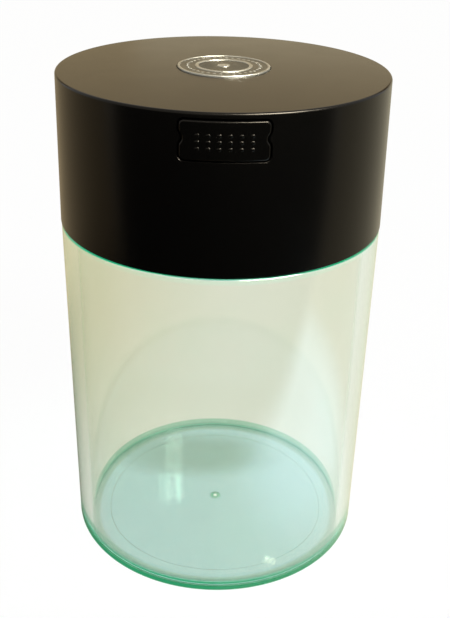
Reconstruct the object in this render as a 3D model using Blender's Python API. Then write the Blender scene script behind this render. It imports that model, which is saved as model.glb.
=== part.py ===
"""A vacuum food canister: a clear cup with a deep push on lid, and in the lid's side a rocking vent button.

The origin is the centre of the cup's foot, +Z is up and the button faces -Y. All lengths are in metres.
"""

import math

import bmesh
import bpy
from mathutils import Vector

# Facets
TURN_STEPS = 60
BADGE_STEPS = 48
SMALL_STEPS = 16
ARC_STEPS = 4
BUTTON_COLUMNS = 8
SHARP_ANGLE = math.radians(35)

# Working distances
MERGE_DISTANCE = 0.000001
OVERRUN = 0.0020
FIT_GAP = 0.0003

# Cup
SHOULDER_RADIUS = 0.0601
SHOULDER_HEIGHT = 0.1351
SHOULDER_EDGE_RADIUS = 0.0008
BODY_DRAFT = 0.0005
FOOT_EDGE_RADIUS = 0.0008
FOOT_RING_WIDTH = 0.0054
UNDERSIDE_RING_WIDTH = 0.0076
UNDERSIDE_RING_HEIGHT = 0.0003
UNDERSIDE_HEIGHT = 0.0005
FLOOR_THICKNESS = 0.0014
FLOOR_FILLET = 0.0005
GATE_DIMPLE_RADIUS = 0.0024
GATE_DIMPLE_DEPTH = 0.0004
GATE_NUB_RADIUS = 0.0010
GATE_NUB_HEIGHT = 0.0003
NECK_CLEARANCE = 0.0007
NECK_DRAFT = 0.0010
NECK_WALL = 0.0019
NECK_ROOT_RADIUS = 0.0006
BORE_DRAFT = 0.0002
RIM_EDGE_RADIUS = 0.0006
RIM_BEAD_HEIGHT = 0.0022
RIM_CLEARANCE = 0.00115

# Seal
GROOVE_HEIGHT = 0.0044
GROOVE_DEPTH = 0.0008
SEAL_GAP = 0.00025
SEAL_THICKNESS = 0.0009
SEAL_LIP_REACH = 0.0018
SEAL_LIP_THICKNESS = 0.0003

# Lid
LID_OVERHANG = 0.0002
LID_DRAFT = 0.0009
LID_HEIGHT = 0.0544
LID_WALL = 0.0020
LID_TOP_THICKNESS = 0.0022
LID_CROWN = 0.0007
LID_EDGE_RADIUS = 0.0008
LID_INNER_FILLET = 0.0010
LID_LEAD_IN = 0.0006
CROWN_RINGS = 4

# Badge
BADGE_RADIUS = 0.0165
BADGE_THICKNESS = 0.0010
BADGE_PROUD = 0.0005
BADGE_EDGE_RADIUS = 0.0003
BADGE_RIM_WIDTH = 0.0009
BADGE_FIELD_DEPTH = 0.0002

# Button
BUTTON_WIDTH = 0.0280
BUTTON_HEIGHT = 0.0124
BUTTON_INSET = 0.0024
BUTTON_CORNER_RADIUS = 0.0015
BUTTON_EDGE_RADIUS = 0.0005
BUTTON_SHY = 0.00005
BUTTON_PLATE = 0.0016
BUTTON_WALL = 0.0010
BUTTON_GAP = 0.00045
NOTCH_DEPTH = 0.0010
NOTCH_HEIGHT = 0.0038
NOTCH_FLAT = 0.0016

# Pivot
PIVOT_ABOVE_MIDDLE = 0.0006
PIVOT_INSET = 0.0031
PIN_RADIUS = 0.0006
PIN_RUNNING_GAP = 0.00005
PIN_END_INSET = 0.0002
PIN_BORE_WALL = 0.0003
EAR_OFFSET = 0.0080
EAR_THICKNESS = 0.0016
EAR_WALL = 0.00065
EAR_MOUTH = 0.0009

# Pocket behind the button
POCKET_DEPTH = 0.0022
POCKET_WALL = 0.0014

# Vent valve
VENT_RADIUS = 0.0008
VENT_ABOVE_PIVOT = 0.0022
SEAT_HEIGHT = 0.0003
SEAT_WIDTH = 0.00035
PLUG_SEAT_GAP = 0.00015
PLUG_RADIUS = 0.0014
PLUG_THICKNESS = 0.0010
PLUG_BOSS_GAP = 0.0001
BOSS_RADIUS = 0.0013
STEM_RADIUS = 0.0006
STEM_LENGTH = 0.0014
STEM_GAP = 0.0001

# Return spring
SPRING_BELOW_PIVOT = 0.0036
SPRING_RADIUS = 0.0014
SPRING_WIRE = 0.00035
SPRING_TURNS = 4
SPRING_TURN_STEPS = 10
SPRING_END_GAP = 0.00015
SPRING_POST_RADIUS = 0.0008
SPRING_POST_LENGTH = 0.0012

# Lid places, measured above the lid's foot
BUTTON_TOP = LID_HEIGHT - BUTTON_INSET
PIVOT_HEIGHT = BUTTON_TOP - BUTTON_HEIGHT / 2 + PIVOT_ABOVE_MIDDLE
POCKET_BOTTOM = BUTTON_TOP - BUTTON_HEIGHT - BUTTON_GAP
LID_CEILING = LID_HEIGHT - LID_TOP_THICKNESS
BADGE_RECESS_RADIUS = BADGE_RADIUS + FIT_GAP

# Heights above the cup's foot
LID_FOOT_HEIGHT = SHOULDER_HEIGHT + FIT_GAP
RIM_HEIGHT = LID_FOOT_HEIGHT + POCKET_BOTTOM - POCKET_WALL - RIM_CLEARANCE
FLOOR_HEIGHT = UNDERSIDE_HEIGHT + FLOOR_THICKNESS
GROOVE_TOP = RIM_HEIGHT - RIM_BEAD_HEIGHT
GROOVE_BOTTOM = GROOVE_TOP - GROOVE_HEIGHT

# Radii
LID_FOOT_RADIUS = SHOULDER_RADIUS + LID_OVERHANG
NECK_FOOT_RADIUS = LID_FOOT_RADIUS - LID_WALL - NECK_CLEARANCE
RIM_RADIUS = NECK_FOOT_RADIUS - NECK_DRAFT
BORE_RIM_RADIUS = RIM_RADIUS - NECK_WALL
FOOT_RADIUS = SHOULDER_RADIUS - BODY_DRAFT
FOOT_INNER_RADIUS = FOOT_RADIUS - FOOT_RING_WIDTH
BUTTON_FACE_RADIUS = LID_FOOT_RADIUS - BUTTON_SHY

# Depths behind the pivot, where plus is towards the lid's axis
PIN_BORE_RADIUS = PIN_RADIUS + PIN_RUNNING_GAP
SKIRT_REAR = PIN_BORE_RADIUS + PIN_BORE_WALL
SEAT_TOP = POCKET_DEPTH - SEAT_HEIGHT
PLUG_REAR = SEAT_TOP - PLUG_SEAT_GAP
PLUG_FRONT = PLUG_REAR - PLUG_THICKNESS
BOSS_REAR = PLUG_FRONT - PLUG_BOSS_GAP


def lid_outer_radius(height):
    """Radius of the lid's outer wall at a height above the lid's foot."""
    return LID_FOOT_RADIUS - LID_DRAFT * height / LID_HEIGHT


def lid_inner_radius(height):
    """Radius of the lid's inner wall at a height above the lid's foot."""
    return lid_outer_radius(height) - LID_WALL


def neck_radius(height):
    """Radius of the neck's outer wall at a height above the cup's foot."""
    share = (height - SHOULDER_HEIGHT) / (RIM_HEIGHT - SHOULDER_HEIGHT)
    return NECK_FOOT_RADIUS - NECK_DRAFT * share


def bore_radius(height):
    """Radius of the cup's bore at a height above the cup's foot."""
    return BORE_RIM_RADIUS - BORE_DRAFT * (RIM_HEIGHT - height) / RIM_HEIGHT


def crown_height(radius):
    """Height of the lid's crowned top above the lid's foot at a radius."""
    share = radius / (lid_outer_radius(LID_HEIGHT) - LID_EDGE_RADIUS)
    return LID_HEIGHT + LID_CROWN * (1 - share * share)


PIVOT_DEPTH = lid_outer_radius(PIVOT_HEIGHT) - PIVOT_INSET
BUTTON_FRONT = PIVOT_DEPTH - BUTTON_FACE_RADIUS
PLATE_REAR = BUTTON_FRONT + BUTTON_PLATE
BADGE_TOP = crown_height(BADGE_RECESS_RADIUS) + BADGE_PROUD


def arc(centre, radius, start, end, steps=ARC_STEPS):
    """Points of a round stretch about a centre, from a start angle to an end angle in degrees."""
    points = []
    for step in range(steps + 1):
        angle = math.radians(start + (end - start) * step / steps)
        points.append((centre[0] + radius * math.cos(angle), centre[1] + radius * math.sin(angle)))
    return points


def grown(outline, distance):
    """An anticlockwise outline moved outwards by a distance, with its corners kept."""
    points = [Vector(point) for point in outline]
    moved = []
    for before, point, after in zip([points[-1]] + points, points, points[1:] + points[:1]):
        first = (point - before).normalized()
        second = (after - point).normalized()
        normals = Vector((first.y + second.y, -first.x - second.x))
        moved.append(tuple(point + normals * distance / (1 + first.dot(second))))
    return moved


def object_from(name, bm, material, parent=None, location=(0, 0, 0)):
    """Puts a finished bmesh into the scene as an object, smooth over its round faces."""
    mesh = bpy.data.meshes.new(name)
    bm.to_mesh(mesh)
    bm.free()
    mesh.shade_smooth()
    mesh.set_sharp_from_angle(angle=SHARP_ANGLE)
    if material:
        mesh.materials.append(material)
    thing = bpy.data.objects.new(name, mesh)
    thing.parent = parent
    thing.location = location
    bpy.context.scene.collection.objects.link(thing)
    return thing


def empty(name, parent, location):
    """An axis to place moving pieces on."""
    thing = bpy.data.objects.new(name, None)
    thing.parent = parent
    thing.location = location
    bpy.context.scene.collection.objects.link(thing)
    return thing


def turned(outline, steps=TURN_STEPS, ring=False):
    """Spins an outline of (radius, height) points round +Z. A ring's outline closes on itself."""
    bm = bmesh.new()
    points = [bm.verts.new((radius, 0, height)) for radius, height in outline]
    edges = [bm.edges.new(pair) for pair in zip(points, points[1:])]
    if ring:
        edges.append(bm.edges.new((points[-1], points[0])))
    bmesh.ops.spin(
        bm, geom=points + edges, cent=(0, 0, 0), axis=(0, 0, 1), angle=math.tau, steps=steps, use_merge=True
    )
    bmesh.ops.remove_doubles(bm, verts=bm.verts, dist=MERGE_DISTANCE)
    bmesh.ops.recalc_face_normals(bm, faces=bm.faces)
    return bm


def prism(bm, corners, sweep):
    """Adds a closed solid: a flat outline of corners, swept along a vector."""
    face = bm.faces.new([bm.verts.new(corner) for corner in corners])
    swept = bmesh.ops.extrude_face_region(bm, geom=[face], use_keep_orig=True)
    moved = [item for item in swept["geom"] if isinstance(item, bmesh.types.BMVert)]
    bmesh.ops.translate(bm, verts=moved, vec=sweep)
    bmesh.ops.recalc_face_normals(bm, faces=bm.faces)


def rod(bm, start, end, radius, steps=SMALL_STEPS):
    """Adds a round solid between two points."""
    start, end = Vector(start), Vector(end)
    along = end - start
    turn = along.to_track_quat("Z", "Y").to_matrix().to_4x4()
    turn.translation = (start + end) / 2
    bmesh.ops.create_cone(
        bm, cap_ends=True, segments=steps, radius1=radius, radius2=radius, depth=along.length, matrix=turn
    )


def boolean(target, helper, operation):
    """Cuts or joins a helper solid, which is drawn as wire and stays out of a render."""
    helper.hide_render = True
    helper.display_type = "WIRE"
    modifier = target.modifiers.new(helper.name, "BOOLEAN")
    modifier.operation = operation
    modifier.solver = "EXACT"
    modifier.object = helper


def plastic(name, colour, roughness, metallic=0.0, transmission=0.0):
    """A Principled material."""
    material = bpy.data.materials.new(name)
    material.use_nodes = True
    shader = material.node_tree.nodes["Principled BSDF"]
    shader.inputs["Base Color"].default_value = (*colour, 1)
    shader.inputs["Roughness"].default_value = roughness
    shader.inputs["Metallic"].default_value = metallic
    shader.inputs["Transmission Weight"].default_value = transmission
    material.diffuse_color = (*colour, 1)
    return material


def cup_underside():
    """Outline of the foot: the gate mark at the centre, the stepped underside and the ring it stands on."""
    dimple_top = UNDERSIDE_HEIGHT + GATE_DIMPLE_DEPTH
    nub_bottom = dimple_top - GATE_NUB_HEIGHT
    ring_inner = FOOT_INNER_RADIUS - UNDERSIDE_RING_WIDTH
    return [
        (0, nub_bottom),
        (GATE_NUB_RADIUS, nub_bottom),
        (GATE_NUB_RADIUS, dimple_top),
        (GATE_DIMPLE_RADIUS, dimple_top),
        (GATE_DIMPLE_RADIUS, UNDERSIDE_HEIGHT),
        (ring_inner, UNDERSIDE_HEIGHT),
        (ring_inner, UNDERSIDE_RING_HEIGHT),
        (FOOT_INNER_RADIUS, UNDERSIDE_RING_HEIGHT),
        (FOOT_INNER_RADIUS, 0),
    ]


def cup_outside():
    """Outline of the outer wall, the shoulder the lid sits over, and the neck with its seal groove."""
    edge = FOOT_EDGE_RADIUS
    outline = arc((FOOT_RADIUS - edge, edge), edge, -90, 0)
    edge = SHOULDER_EDGE_RADIUS
    outline += arc((SHOULDER_RADIUS - edge, SHOULDER_HEIGHT - edge), edge, 0, 90)
    root = NECK_ROOT_RADIUS
    outline += arc((NECK_FOOT_RADIUS + root, SHOULDER_HEIGHT + root), root, -90, -180)
    for height in (GROOVE_BOTTOM, GROOVE_TOP):
        wall = (neck_radius(height), height)
        bottom = (neck_radius(height) - GROOVE_DEPTH, height)
        outline += [wall, bottom] if height == GROOVE_BOTTOM else [bottom, wall]
    return outline


def cup_inside():
    """Outline of the rim, the bore and the floor inside the cup."""
    edge = min(RIM_EDGE_RADIUS, NECK_WALL / 2)
    outline = arc((RIM_RADIUS - edge, RIM_HEIGHT - edge), edge, 0, 90)
    outline += arc((BORE_RIM_RADIUS + edge, RIM_HEIGHT - edge), edge, 90, 180)
    fillet = FLOOR_FILLET
    corner = (bore_radius(FLOOR_HEIGHT + fillet) - fillet, FLOOR_HEIGHT + fillet)
    outline += arc(corner, fillet, 0, -90, ARC_STEPS + 1)
    outline.append((0, FLOOR_HEIGHT))
    return outline


def build_cup(material):
    """The clear cup, one moulding."""
    outline = cup_underside() + cup_outside() + cup_inside()
    return object_from("canister_body", turned(outline), material)


def build_seal(material):
    """The ring round the neck. Its lip leans out and down, so air pressing in from outside seals it."""
    top = GROOVE_TOP - SEAL_GAP
    bottom = GROOVE_BOTTOM + SEAL_GAP
    inner = neck_radius(GROOVE_BOTTOM) - GROOVE_DEPTH + SEAL_GAP
    outer = inner + SEAL_THICKNESS
    tip = bottom - SEAL_LIP_REACH
    tip_radius = lid_inner_radius(tip - LID_FOOT_HEIGHT) - FIT_GAP
    outline = [
        (inner, top),
        (outer, top),
        (outer + SEAL_LIP_THICKNESS, top - SEAL_LIP_THICKNESS),
        (tip_radius, tip + SEAL_LIP_THICKNESS),
        (tip_radius, tip),
        (tip_radius - SEAL_LIP_THICKNESS, tip),
        (outer, bottom),
        (inner, bottom),
    ]
    return object_from("rim_seal", turned(outline, ring=True), material)


def lid_outside():
    """Outline of the lid as a solid block, with the badge's recess sunk in its crown."""
    recess_floor = BADGE_TOP - BADGE_THICKNESS - FIT_GAP
    edge = LID_EDGE_RADIUS
    top_radius = lid_outer_radius(LID_HEIGHT)
    outline = [(0, recess_floor), (BADGE_RECESS_RADIUS, recess_floor)]
    for ring in range(CROWN_RINGS):
        share = ring / CROWN_RINGS
        radius = BADGE_RECESS_RADIUS + (top_radius - edge - BADGE_RECESS_RADIUS) * share
        outline.append((radius, crown_height(radius)))
    outline += arc((top_radius - edge, LID_HEIGHT - edge), edge, 90, 0)
    outline += [(LID_FOOT_RADIUS, 0), (0, 0)]
    return outline


def lid_inside():
    """Outline of the hollow that is cut from the lid block, with a lead in at its mouth."""
    fillet = LID_INNER_FILLET
    mouth = lid_inner_radius(LID_LEAD_IN)
    top_radius = lid_inner_radius(LID_CEILING - fillet)
    outline = [(0, -OVERRUN), (mouth + LID_LEAD_IN + OVERRUN, -OVERRUN), (mouth, LID_LEAD_IN)]
    outline += arc((top_radius - fillet, LID_CEILING - fillet), fillet, 0, 90)
    outline.append((0, LID_CEILING))
    return outline


def button_outline():
    """Corners of the button seen from in front, anticlockwise, with the pivot at zero."""
    half = BUTTON_WIDTH / 2
    low = -BUTTON_HEIGHT / 2 - PIVOT_ABOVE_MIDDLE
    high = BUTTON_HEIGHT / 2 - PIVOT_ABOVE_MIDDLE
    round_corner = BUTTON_CORNER_RADIUS
    right = arc((half - round_corner, low + round_corner), round_corner, -90, 0)
    right += [
        (half, -NOTCH_HEIGHT / 2),
        (half - NOTCH_DEPTH, -NOTCH_FLAT / 2),
        (half - NOTCH_DEPTH, NOTCH_FLAT / 2),
        (half, NOTCH_HEIGHT / 2),
    ]
    right += arc((half - round_corner, high - round_corner), round_corner, 0, 90)
    return right + [(-x, z) for x, z in reversed(right)]


def pocket_block():
    """The block that is left standing in the lid's hollow, to hold the pocket."""
    bm = bmesh.new()
    half = BUTTON_WIDTH / 2 + BUTTON_GAP + POCKET_WALL
    rear = POCKET_DEPTH + POCKET_WALL - PIVOT_DEPTH
    low = POCKET_BOTTOM - POCKET_WALL
    high = LID_CEILING + OVERRUN
    corners = [(-half, rear, low), (half, rear, low), (half, rear, high), (-half, rear, high)]
    prism(bm, corners, (0, -POCKET_DEPTH - POCKET_WALL - PIVOT_INSET - OVERRUN, 0))
    return bm


def ear_outline():
    """Side view of a clip that the pin snaps into, as (depth, height) from the pivot."""
    outer = PIN_BORE_RADIUS + EAR_WALL
    root = POCKET_DEPTH + POCKET_WALL / 2
    outer_mouth = math.degrees(math.asin(EAR_MOUTH / 2 / outer))
    inner_mouth = math.degrees(math.asin(min(1, EAR_MOUTH / 2 / PIN_BORE_RADIUS)))
    outline = [(root, outer)]
    outline += arc((0, 0), outer, 90, 180 - outer_mouth)
    outline += arc((0, 0), PIN_BORE_RADIUS, 180 - inner_mouth, inner_mouth - 180, SMALL_STEPS)
    outline += arc((0, 0), outer, 180 + outer_mouth, 270)
    outline.append((root, -outer))
    return outline


def pocket_fittings():
    """What stands on the pocket's floor: two pin clips, the vent's raised seat and the spring's post."""
    bm = bmesh.new()
    for side in (-1, 1):
        start = side * EAR_OFFSET - EAR_THICKNESS / 2
        corners = [(start, depth, height) for depth, height in ear_outline()]
        prism(bm, corners, (EAR_THICKNESS, 0, 0))
    root = POCKET_DEPTH + POCKET_WALL / 2
    rod(bm, (0, root, VENT_ABOVE_PIVOT), (0, SEAT_TOP, VENT_ABOVE_PIVOT), VENT_RADIUS + SEAT_WIDTH)
    post_front = POCKET_DEPTH - SPRING_POST_LENGTH
    rod(bm, (0, root, -SPRING_BELOW_PIVOT), (0, post_front, -SPRING_BELOW_PIVOT), SPRING_POST_RADIUS)
    return bm


def build_lid(material, lid_frame, pivot):
    """The lid, hollowed out but for the pocket, which is opened to the front and fitted out."""
    lid = object_from("lid_shell", turned(lid_outside()), material, lid_frame)
    hollow = object_from("lid_hollow_cut", turned(lid_inside()), None, lid_frame)
    block = object_from("pocket_block_left", pocket_block(), None, lid_frame)
    boolean(hollow, block, "DIFFERENCE")
    boolean(lid, hollow, "DIFFERENCE")

    bm = bmesh.new()
    corners = [(x, POCKET_DEPTH, z) for x, z in grown(button_outline(), BUTTON_GAP)]
    prism(bm, corners, (0, -POCKET_DEPTH - PIVOT_INSET - OVERRUN, 0))
    boolean(lid, object_from("pocket_cut", bm, None, pivot), "DIFFERENCE")

    boolean(lid, object_from("pocket_fittings", pocket_fittings(), None, pivot), "UNION")

    bm = bmesh.new()
    front = (0, SEAT_TOP - OVERRUN, VENT_ABOVE_PIVOT)
    rear = (0, POCKET_DEPTH + POCKET_WALL + OVERRUN, VENT_ABOVE_PIVOT)
    rod(bm, front, rear, VENT_RADIUS)
    boolean(lid, object_from("vent_cut", bm, None, pivot), "DIFFERENCE")
    return lid


def build_badge(material, lid_frame):
    """The round plate in the lid's crown, with a narrow raised rim round a shallow field."""
    field = BADGE_THICKNESS - BADGE_FIELD_DEPTH
    field_radius = BADGE_RADIUS - BADGE_RIM_WIDTH
    edge = BADGE_EDGE_RADIUS
    outline = [(0, 0), (BADGE_RADIUS, 0)]
    outline += arc((BADGE_RADIUS - edge, BADGE_THICKNESS - edge), edge, 0, 90)
    outline += [(field_radius, BADGE_THICKNESS), (field_radius - BADGE_FIELD_DEPTH, field), (0, field)]
    place = (0, 0, BADGE_TOP - BADGE_THICKNESS)
    return object_from("lid_badge", turned(outline, BADGE_STEPS), material, lid_frame, place)


def button_shell():
    """The button as an open backed shell: a face bent to the lid's round, with a skirt behind it."""
    bm = bmesh.new()
    depth = SKIRT_REAR - BUTTON_FRONT
    prism(bm, [(x, BUTTON_FRONT, z) for x, z in button_outline()], (0, depth, 0))
    front_edges = [e for e in bm.edges if all(v.co.y < BUTTON_FRONT + MERGE_DISTANCE for v in e.verts)]
    bmesh.ops.bevel(
        bm, geom=front_edges, offset=BUTTON_EDGE_RADIUS, segments=2, profile=0.5, affect="EDGES", material=-1
    )
    rear = max(bm.faces, key=lambda face: face.calc_center_median().y)
    bmesh.ops.inset_region(bm, faces=[rear], thickness=BUTTON_WALL, use_even_offset=True)
    hollow = bmesh.ops.extrude_face_region(bm, geom=[rear])
    moved = [item for item in hollow["geom"] if isinstance(item, bmesh.types.BMVert)]
    bmesh.ops.translate(bm, verts=moved, vec=(0, PLATE_REAR - SKIRT_REAR, 0))
    bmesh.ops.delete(bm, geom=[rear], context="FACES_ONLY")
    for column in range(1, BUTTON_COLUMNS):
        place = BUTTON_WIDTH * (column / BUTTON_COLUMNS - 1 / 2)
        everything = bm.verts[:] + bm.edges[:] + bm.faces[:]
        bmesh.ops.bisect_plane(
            bm, geom=everything, dist=MERGE_DISTANCE, plane_co=(place, 0, 0), plane_no=(1, 0, 0)
        )
    for point in bm.verts:
        if point.co.y < SKIRT_REAR - MERGE_DISTANCE:
            point.co.y += BUTTON_FACE_RADIUS - math.sqrt(BUTTON_FACE_RADIUS**2 - point.co.x**2)
    bmesh.ops.recalc_face_normals(bm, faces=bm.faces)
    return bm


def build_button(material, pivot):
    """The button, with the boss that carries the plug, a pip for the spring and the pin's bores."""
    button = object_from("rocker_button", button_shell(), material, pivot)
    root = PLATE_REAR - BUTTON_PLATE / 2

    bm = bmesh.new()
    rod(bm, (0, root, VENT_ABOVE_PIVOT), (0, BOSS_REAR, VENT_ABOVE_PIVOT), BOSS_RADIUS)
    pip_rear = PLATE_REAR + SPRING_POST_LENGTH / 2
    rod(bm, (0, root, -SPRING_BELOW_PIVOT), (0, pip_rear, -SPRING_BELOW_PIVOT), SPRING_POST_RADIUS)
    boolean(button, object_from("button_bosses", bm, None, pivot), "UNION")

    bm = bmesh.new()
    hole_front = BOSS_REAR - STEM_LENGTH - STEM_GAP
    hole_rear = BOSS_REAR + OVERRUN
    rod(bm, (0, hole_front, VENT_ABOVE_PIVOT), (0, hole_rear, VENT_ABOVE_PIVOT), STEM_RADIUS + STEM_GAP)
    reach = BUTTON_WIDTH / 2 + OVERRUN
    rod(bm, (-reach, 0, 0), (reach, 0, 0), PIN_BORE_RADIUS)
    boolean(button, object_from("button_bores_cut", bm, None, pivot), "DIFFERENCE")
    return button


def build_pin(material, pivot):
    """The steel pin that the button rocks on."""
    bm = bmesh.new()
    reach = BUTTON_WIDTH / 2 - NOTCH_DEPTH - PIN_END_INSET
    rod(bm, (-reach, 0, 0), (reach, 0, 0), PIN_RADIUS)
    return object_from("pivot_pin", bm, material, pivot)


def build_plug(material, pivot):
    """The soft plug that closes the vent, turned about its stem."""
    outline = [
        (0, PLUG_FRONT - STEM_LENGTH),
        (STEM_RADIUS, PLUG_FRONT - STEM_LENGTH),
        (STEM_RADIUS, PLUG_FRONT),
        (PLUG_RADIUS, PLUG_FRONT),
        (PLUG_RADIUS, PLUG_REAR),
        (0, PLUG_REAR),
    ]
    plug = object_from("valve_plug", turned(outline, SMALL_STEPS), material, pivot, (0, 0, VENT_ABOVE_PIVOT))
    plug.rotation_euler = (-math.pi / 2, 0, 0)
    return plug


def build_spring(material, pivot):
    """The coil between the pocket's floor and the back of the button's face."""
    start = PLATE_REAR + SPRING_END_GAP + SPRING_WIRE / 2
    end = POCKET_DEPTH - SPRING_END_GAP - SPRING_WIRE / 2
    steps = SPRING_TURNS * SPRING_TURN_STEPS
    curve = bpy.data.curves.new("return_spring", "CURVE")
    curve.dimensions = "3D"
    curve.bevel_depth = SPRING_WIRE / 2
    curve.bevel_resolution = 1
    curve.use_fill_caps = True
    curve.materials.append(material)
    coil = curve.splines.new("POLY")
    coil.points.add(steps)
    for step, point in enumerate(coil.points):
        angle = math.tau * step / SPRING_TURN_STEPS
        across = SPRING_RADIUS * math.cos(angle)
        up = SPRING_RADIUS * math.sin(angle)
        point.co = (across, start + (end - start) * step / steps, up, 1)
    spring = bpy.data.objects.new("return_spring", curve)
    spring.parent = pivot
    spring.location = (0, 0, -SPRING_BELOW_PIVOT)
    bpy.context.scene.collection.objects.link(spring)
    return spring


def main():
    """Clears the scene and builds the canister."""
    for thing in list(bpy.data.objects):
        bpy.data.objects.remove(thing, do_unlink=True)

    clear = plastic("clear_green_plastic", (0.62, 0.86, 0.74), 0.05, transmission=1.0)
    black = plastic("satin_black_plastic", (0.012, 0.011, 0.010), 0.36)
    silver = plastic("silver_badge", (0.62, 0.61, 0.58), 0.32, metallic=1.0)
    steel = plastic("polished_steel", (0.60, 0.60, 0.60), 0.22, metallic=1.0)
    white_silicone = plastic("white_silicone", (0.78, 0.78, 0.74), 0.55)
    grey_silicone = plastic("grey_silicone", (0.30, 0.31, 0.30), 0.60)

    lid_frame = empty("lid_frame", None, (0, 0, LID_FOOT_HEIGHT))
    pivot = empty("button_pivot", lid_frame, (0, -PIVOT_DEPTH, PIVOT_HEIGHT))

    build_cup(clear)
    build_seal(white_silicone)
    build_lid(black, lid_frame, pivot)
    build_badge(silver, lid_frame)
    build_button(black, pivot)
    build_pin(steel, pivot)
    build_plug(grey_silicone, pivot)
    build_spring(steel, pivot)


main()
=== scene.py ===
"""The looks of a vacuum food canister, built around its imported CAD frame.

The origin is the centre of the cup's foot, +Z is up and the button faces -Y. All lengths are in metres.
"""

import logging
import math
from dataclasses import dataclass, field
from enum import Enum
from functools import reduce
from typing import NamedTuple, Sequence

import bmesh
import bpy
from bmesh.types import BMEdge, BMesh, BMFace, BMVert
from mathutils import Matrix, Vector


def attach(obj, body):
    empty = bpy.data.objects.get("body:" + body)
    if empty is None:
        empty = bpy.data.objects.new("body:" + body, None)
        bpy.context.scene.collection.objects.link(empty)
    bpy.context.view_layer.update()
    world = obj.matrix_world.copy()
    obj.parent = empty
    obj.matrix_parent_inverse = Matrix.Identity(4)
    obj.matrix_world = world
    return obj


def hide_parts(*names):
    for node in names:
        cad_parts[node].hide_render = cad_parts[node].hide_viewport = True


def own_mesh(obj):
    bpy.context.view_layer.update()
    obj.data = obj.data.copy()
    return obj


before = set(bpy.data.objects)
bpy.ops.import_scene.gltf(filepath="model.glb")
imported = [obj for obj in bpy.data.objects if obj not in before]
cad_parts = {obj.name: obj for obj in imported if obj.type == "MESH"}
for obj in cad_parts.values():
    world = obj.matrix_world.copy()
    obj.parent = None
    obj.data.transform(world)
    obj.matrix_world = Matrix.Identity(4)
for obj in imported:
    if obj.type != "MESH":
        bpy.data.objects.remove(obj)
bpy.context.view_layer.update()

LOG = logging.getLogger("canister")
Colour = tuple[float, float, float]
Point = tuple[float, float, float]
Band = tuple[float, float]
Socket = bpy.types.NodeSocket

# How near two points are one, and how near a point is to where it is looked for
MERGE_DISTANCE = 0.000001
PICK_DISTANCE = 0.000005
# How far a cutter runs past what it cuts, and the gap between pieces that sit in each other
OVERRUN = 0.0020
FIT_GAP = 0.0003
# The bend at which shading breaks, and the least cosine of an edge that runs along a direction
SHARP_ANGLE = math.radians(35)
ALIGNED = 0.99
WHITE: Colour = (1.0, 1.0, 1.0)
# The scale of the unevenness under a grain, and the noise over which a patch of handling grows full
SOFT_GRAIN_SCALE = 0.12
PATCH_BAND: Band = (0.35, 0.68)


class Body(Enum):
    """The moving bodies of the frame."""

    CANISTER = "canister"
    LID = "lid"
    BUTTON = "button"


class Slot(Enum):
    """The record's material slots."""

    CLEAR_CUP = "clear_cup"
    BLACK_PLASTIC = "black_plastic"
    SILVER_BADGE = "silver_badge"
    WHITE_SILICONE = "white_silicone"
    GREY_SILICONE = "grey_silicone"
    STEEL = "steel"


class Carve(Enum):
    """What a Boolean step does with its helper solid."""

    ADD = "UNION"
    CUT = "DIFFERENCE"


class Corner(NamedTuple):
    """A corner of a turned outline: its radius, its height and how far it is rounded."""

    radius: float
    height: float
    rounding: float = 0.0


# ---------------------------------------------------------------------------------------------------------
# Mesh tools
# ---------------------------------------------------------------------------------------------------------


def made_points(made: dict) -> list[BMVert]:
    """The points among what a bmesh operator returned."""
    return [item for item in made["geom"] if isinstance(item, BMVert)]


def round_edges(bm: BMesh, edges: Sequence[BMEdge], radius: float, steps: int) -> None:
    """Rounds edges of a solid.

    Args:
        bm: The solid.
        edges: The edges to round.
        radius: How far the rounding reaches from the edge.
        steps: How many faces cross the rounding.
    """
    bmesh.ops.bevel(
        bm, geom=list(edges), offset=radius, segments=steps, profile=0.5, affect="EDGES", material=-1
    )


def turned(corners: Sequence[Corner], steps: int, ring: bool = False, arc_steps: int = 5) -> BMesh:
    """Spins an outline round +Z and rounds its corners.

    Args:
        corners: The outline's corners, from the axis back to the axis, or all round for a ring.
        steps: How many faces go round.
        ring: Whether the outline closes on itself.
        arc_steps: How many faces cross a rounding.

    Returns:
        The closed solid.
    """
    bm = bmesh.new()
    points = [bm.verts.new((corner.radius, 0, corner.height)) for corner in corners]
    edges = [bm.edges.new(pair) for pair in zip(points, points[1:])]
    if ring:
        edges.append(bm.edges.new((points[-1], points[0])))
    bmesh.ops.spin(
        bm, geom=points + edges, cent=(0, 0, 0), axis=(0, 0, 1), angle=math.tau, steps=steps, use_merge=True
    )
    bmesh.ops.remove_doubles(bm, verts=bm.verts, dist=MERGE_DISTANCE)
    bmesh.ops.recalc_face_normals(bm, faces=bm.faces)
    for corner in corners:
        if corner.rounding:
            round_edges(bm, ring_edges(bm, corner), corner.rounding, arc_steps)
    return bm


def ring_edges(bm: BMesh, corner: Corner) -> list[BMEdge]:
    """Picks the edges of the ring that an outline's corner makes.

    Args:
        bm: The turned solid.
        corner: The corner.

    Returns:
        The edges.
    """

    def on_ring(point: BMVert) -> bool:
        """Whether a point lies on the ring."""
        off = abs(point.co.xy.length - corner.radius) + abs(point.co.z - corner.height)
        return off < PICK_DISTANCE

    return [edge for edge in bm.edges if all(on_ring(point) for point in edge.verts)]


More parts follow.
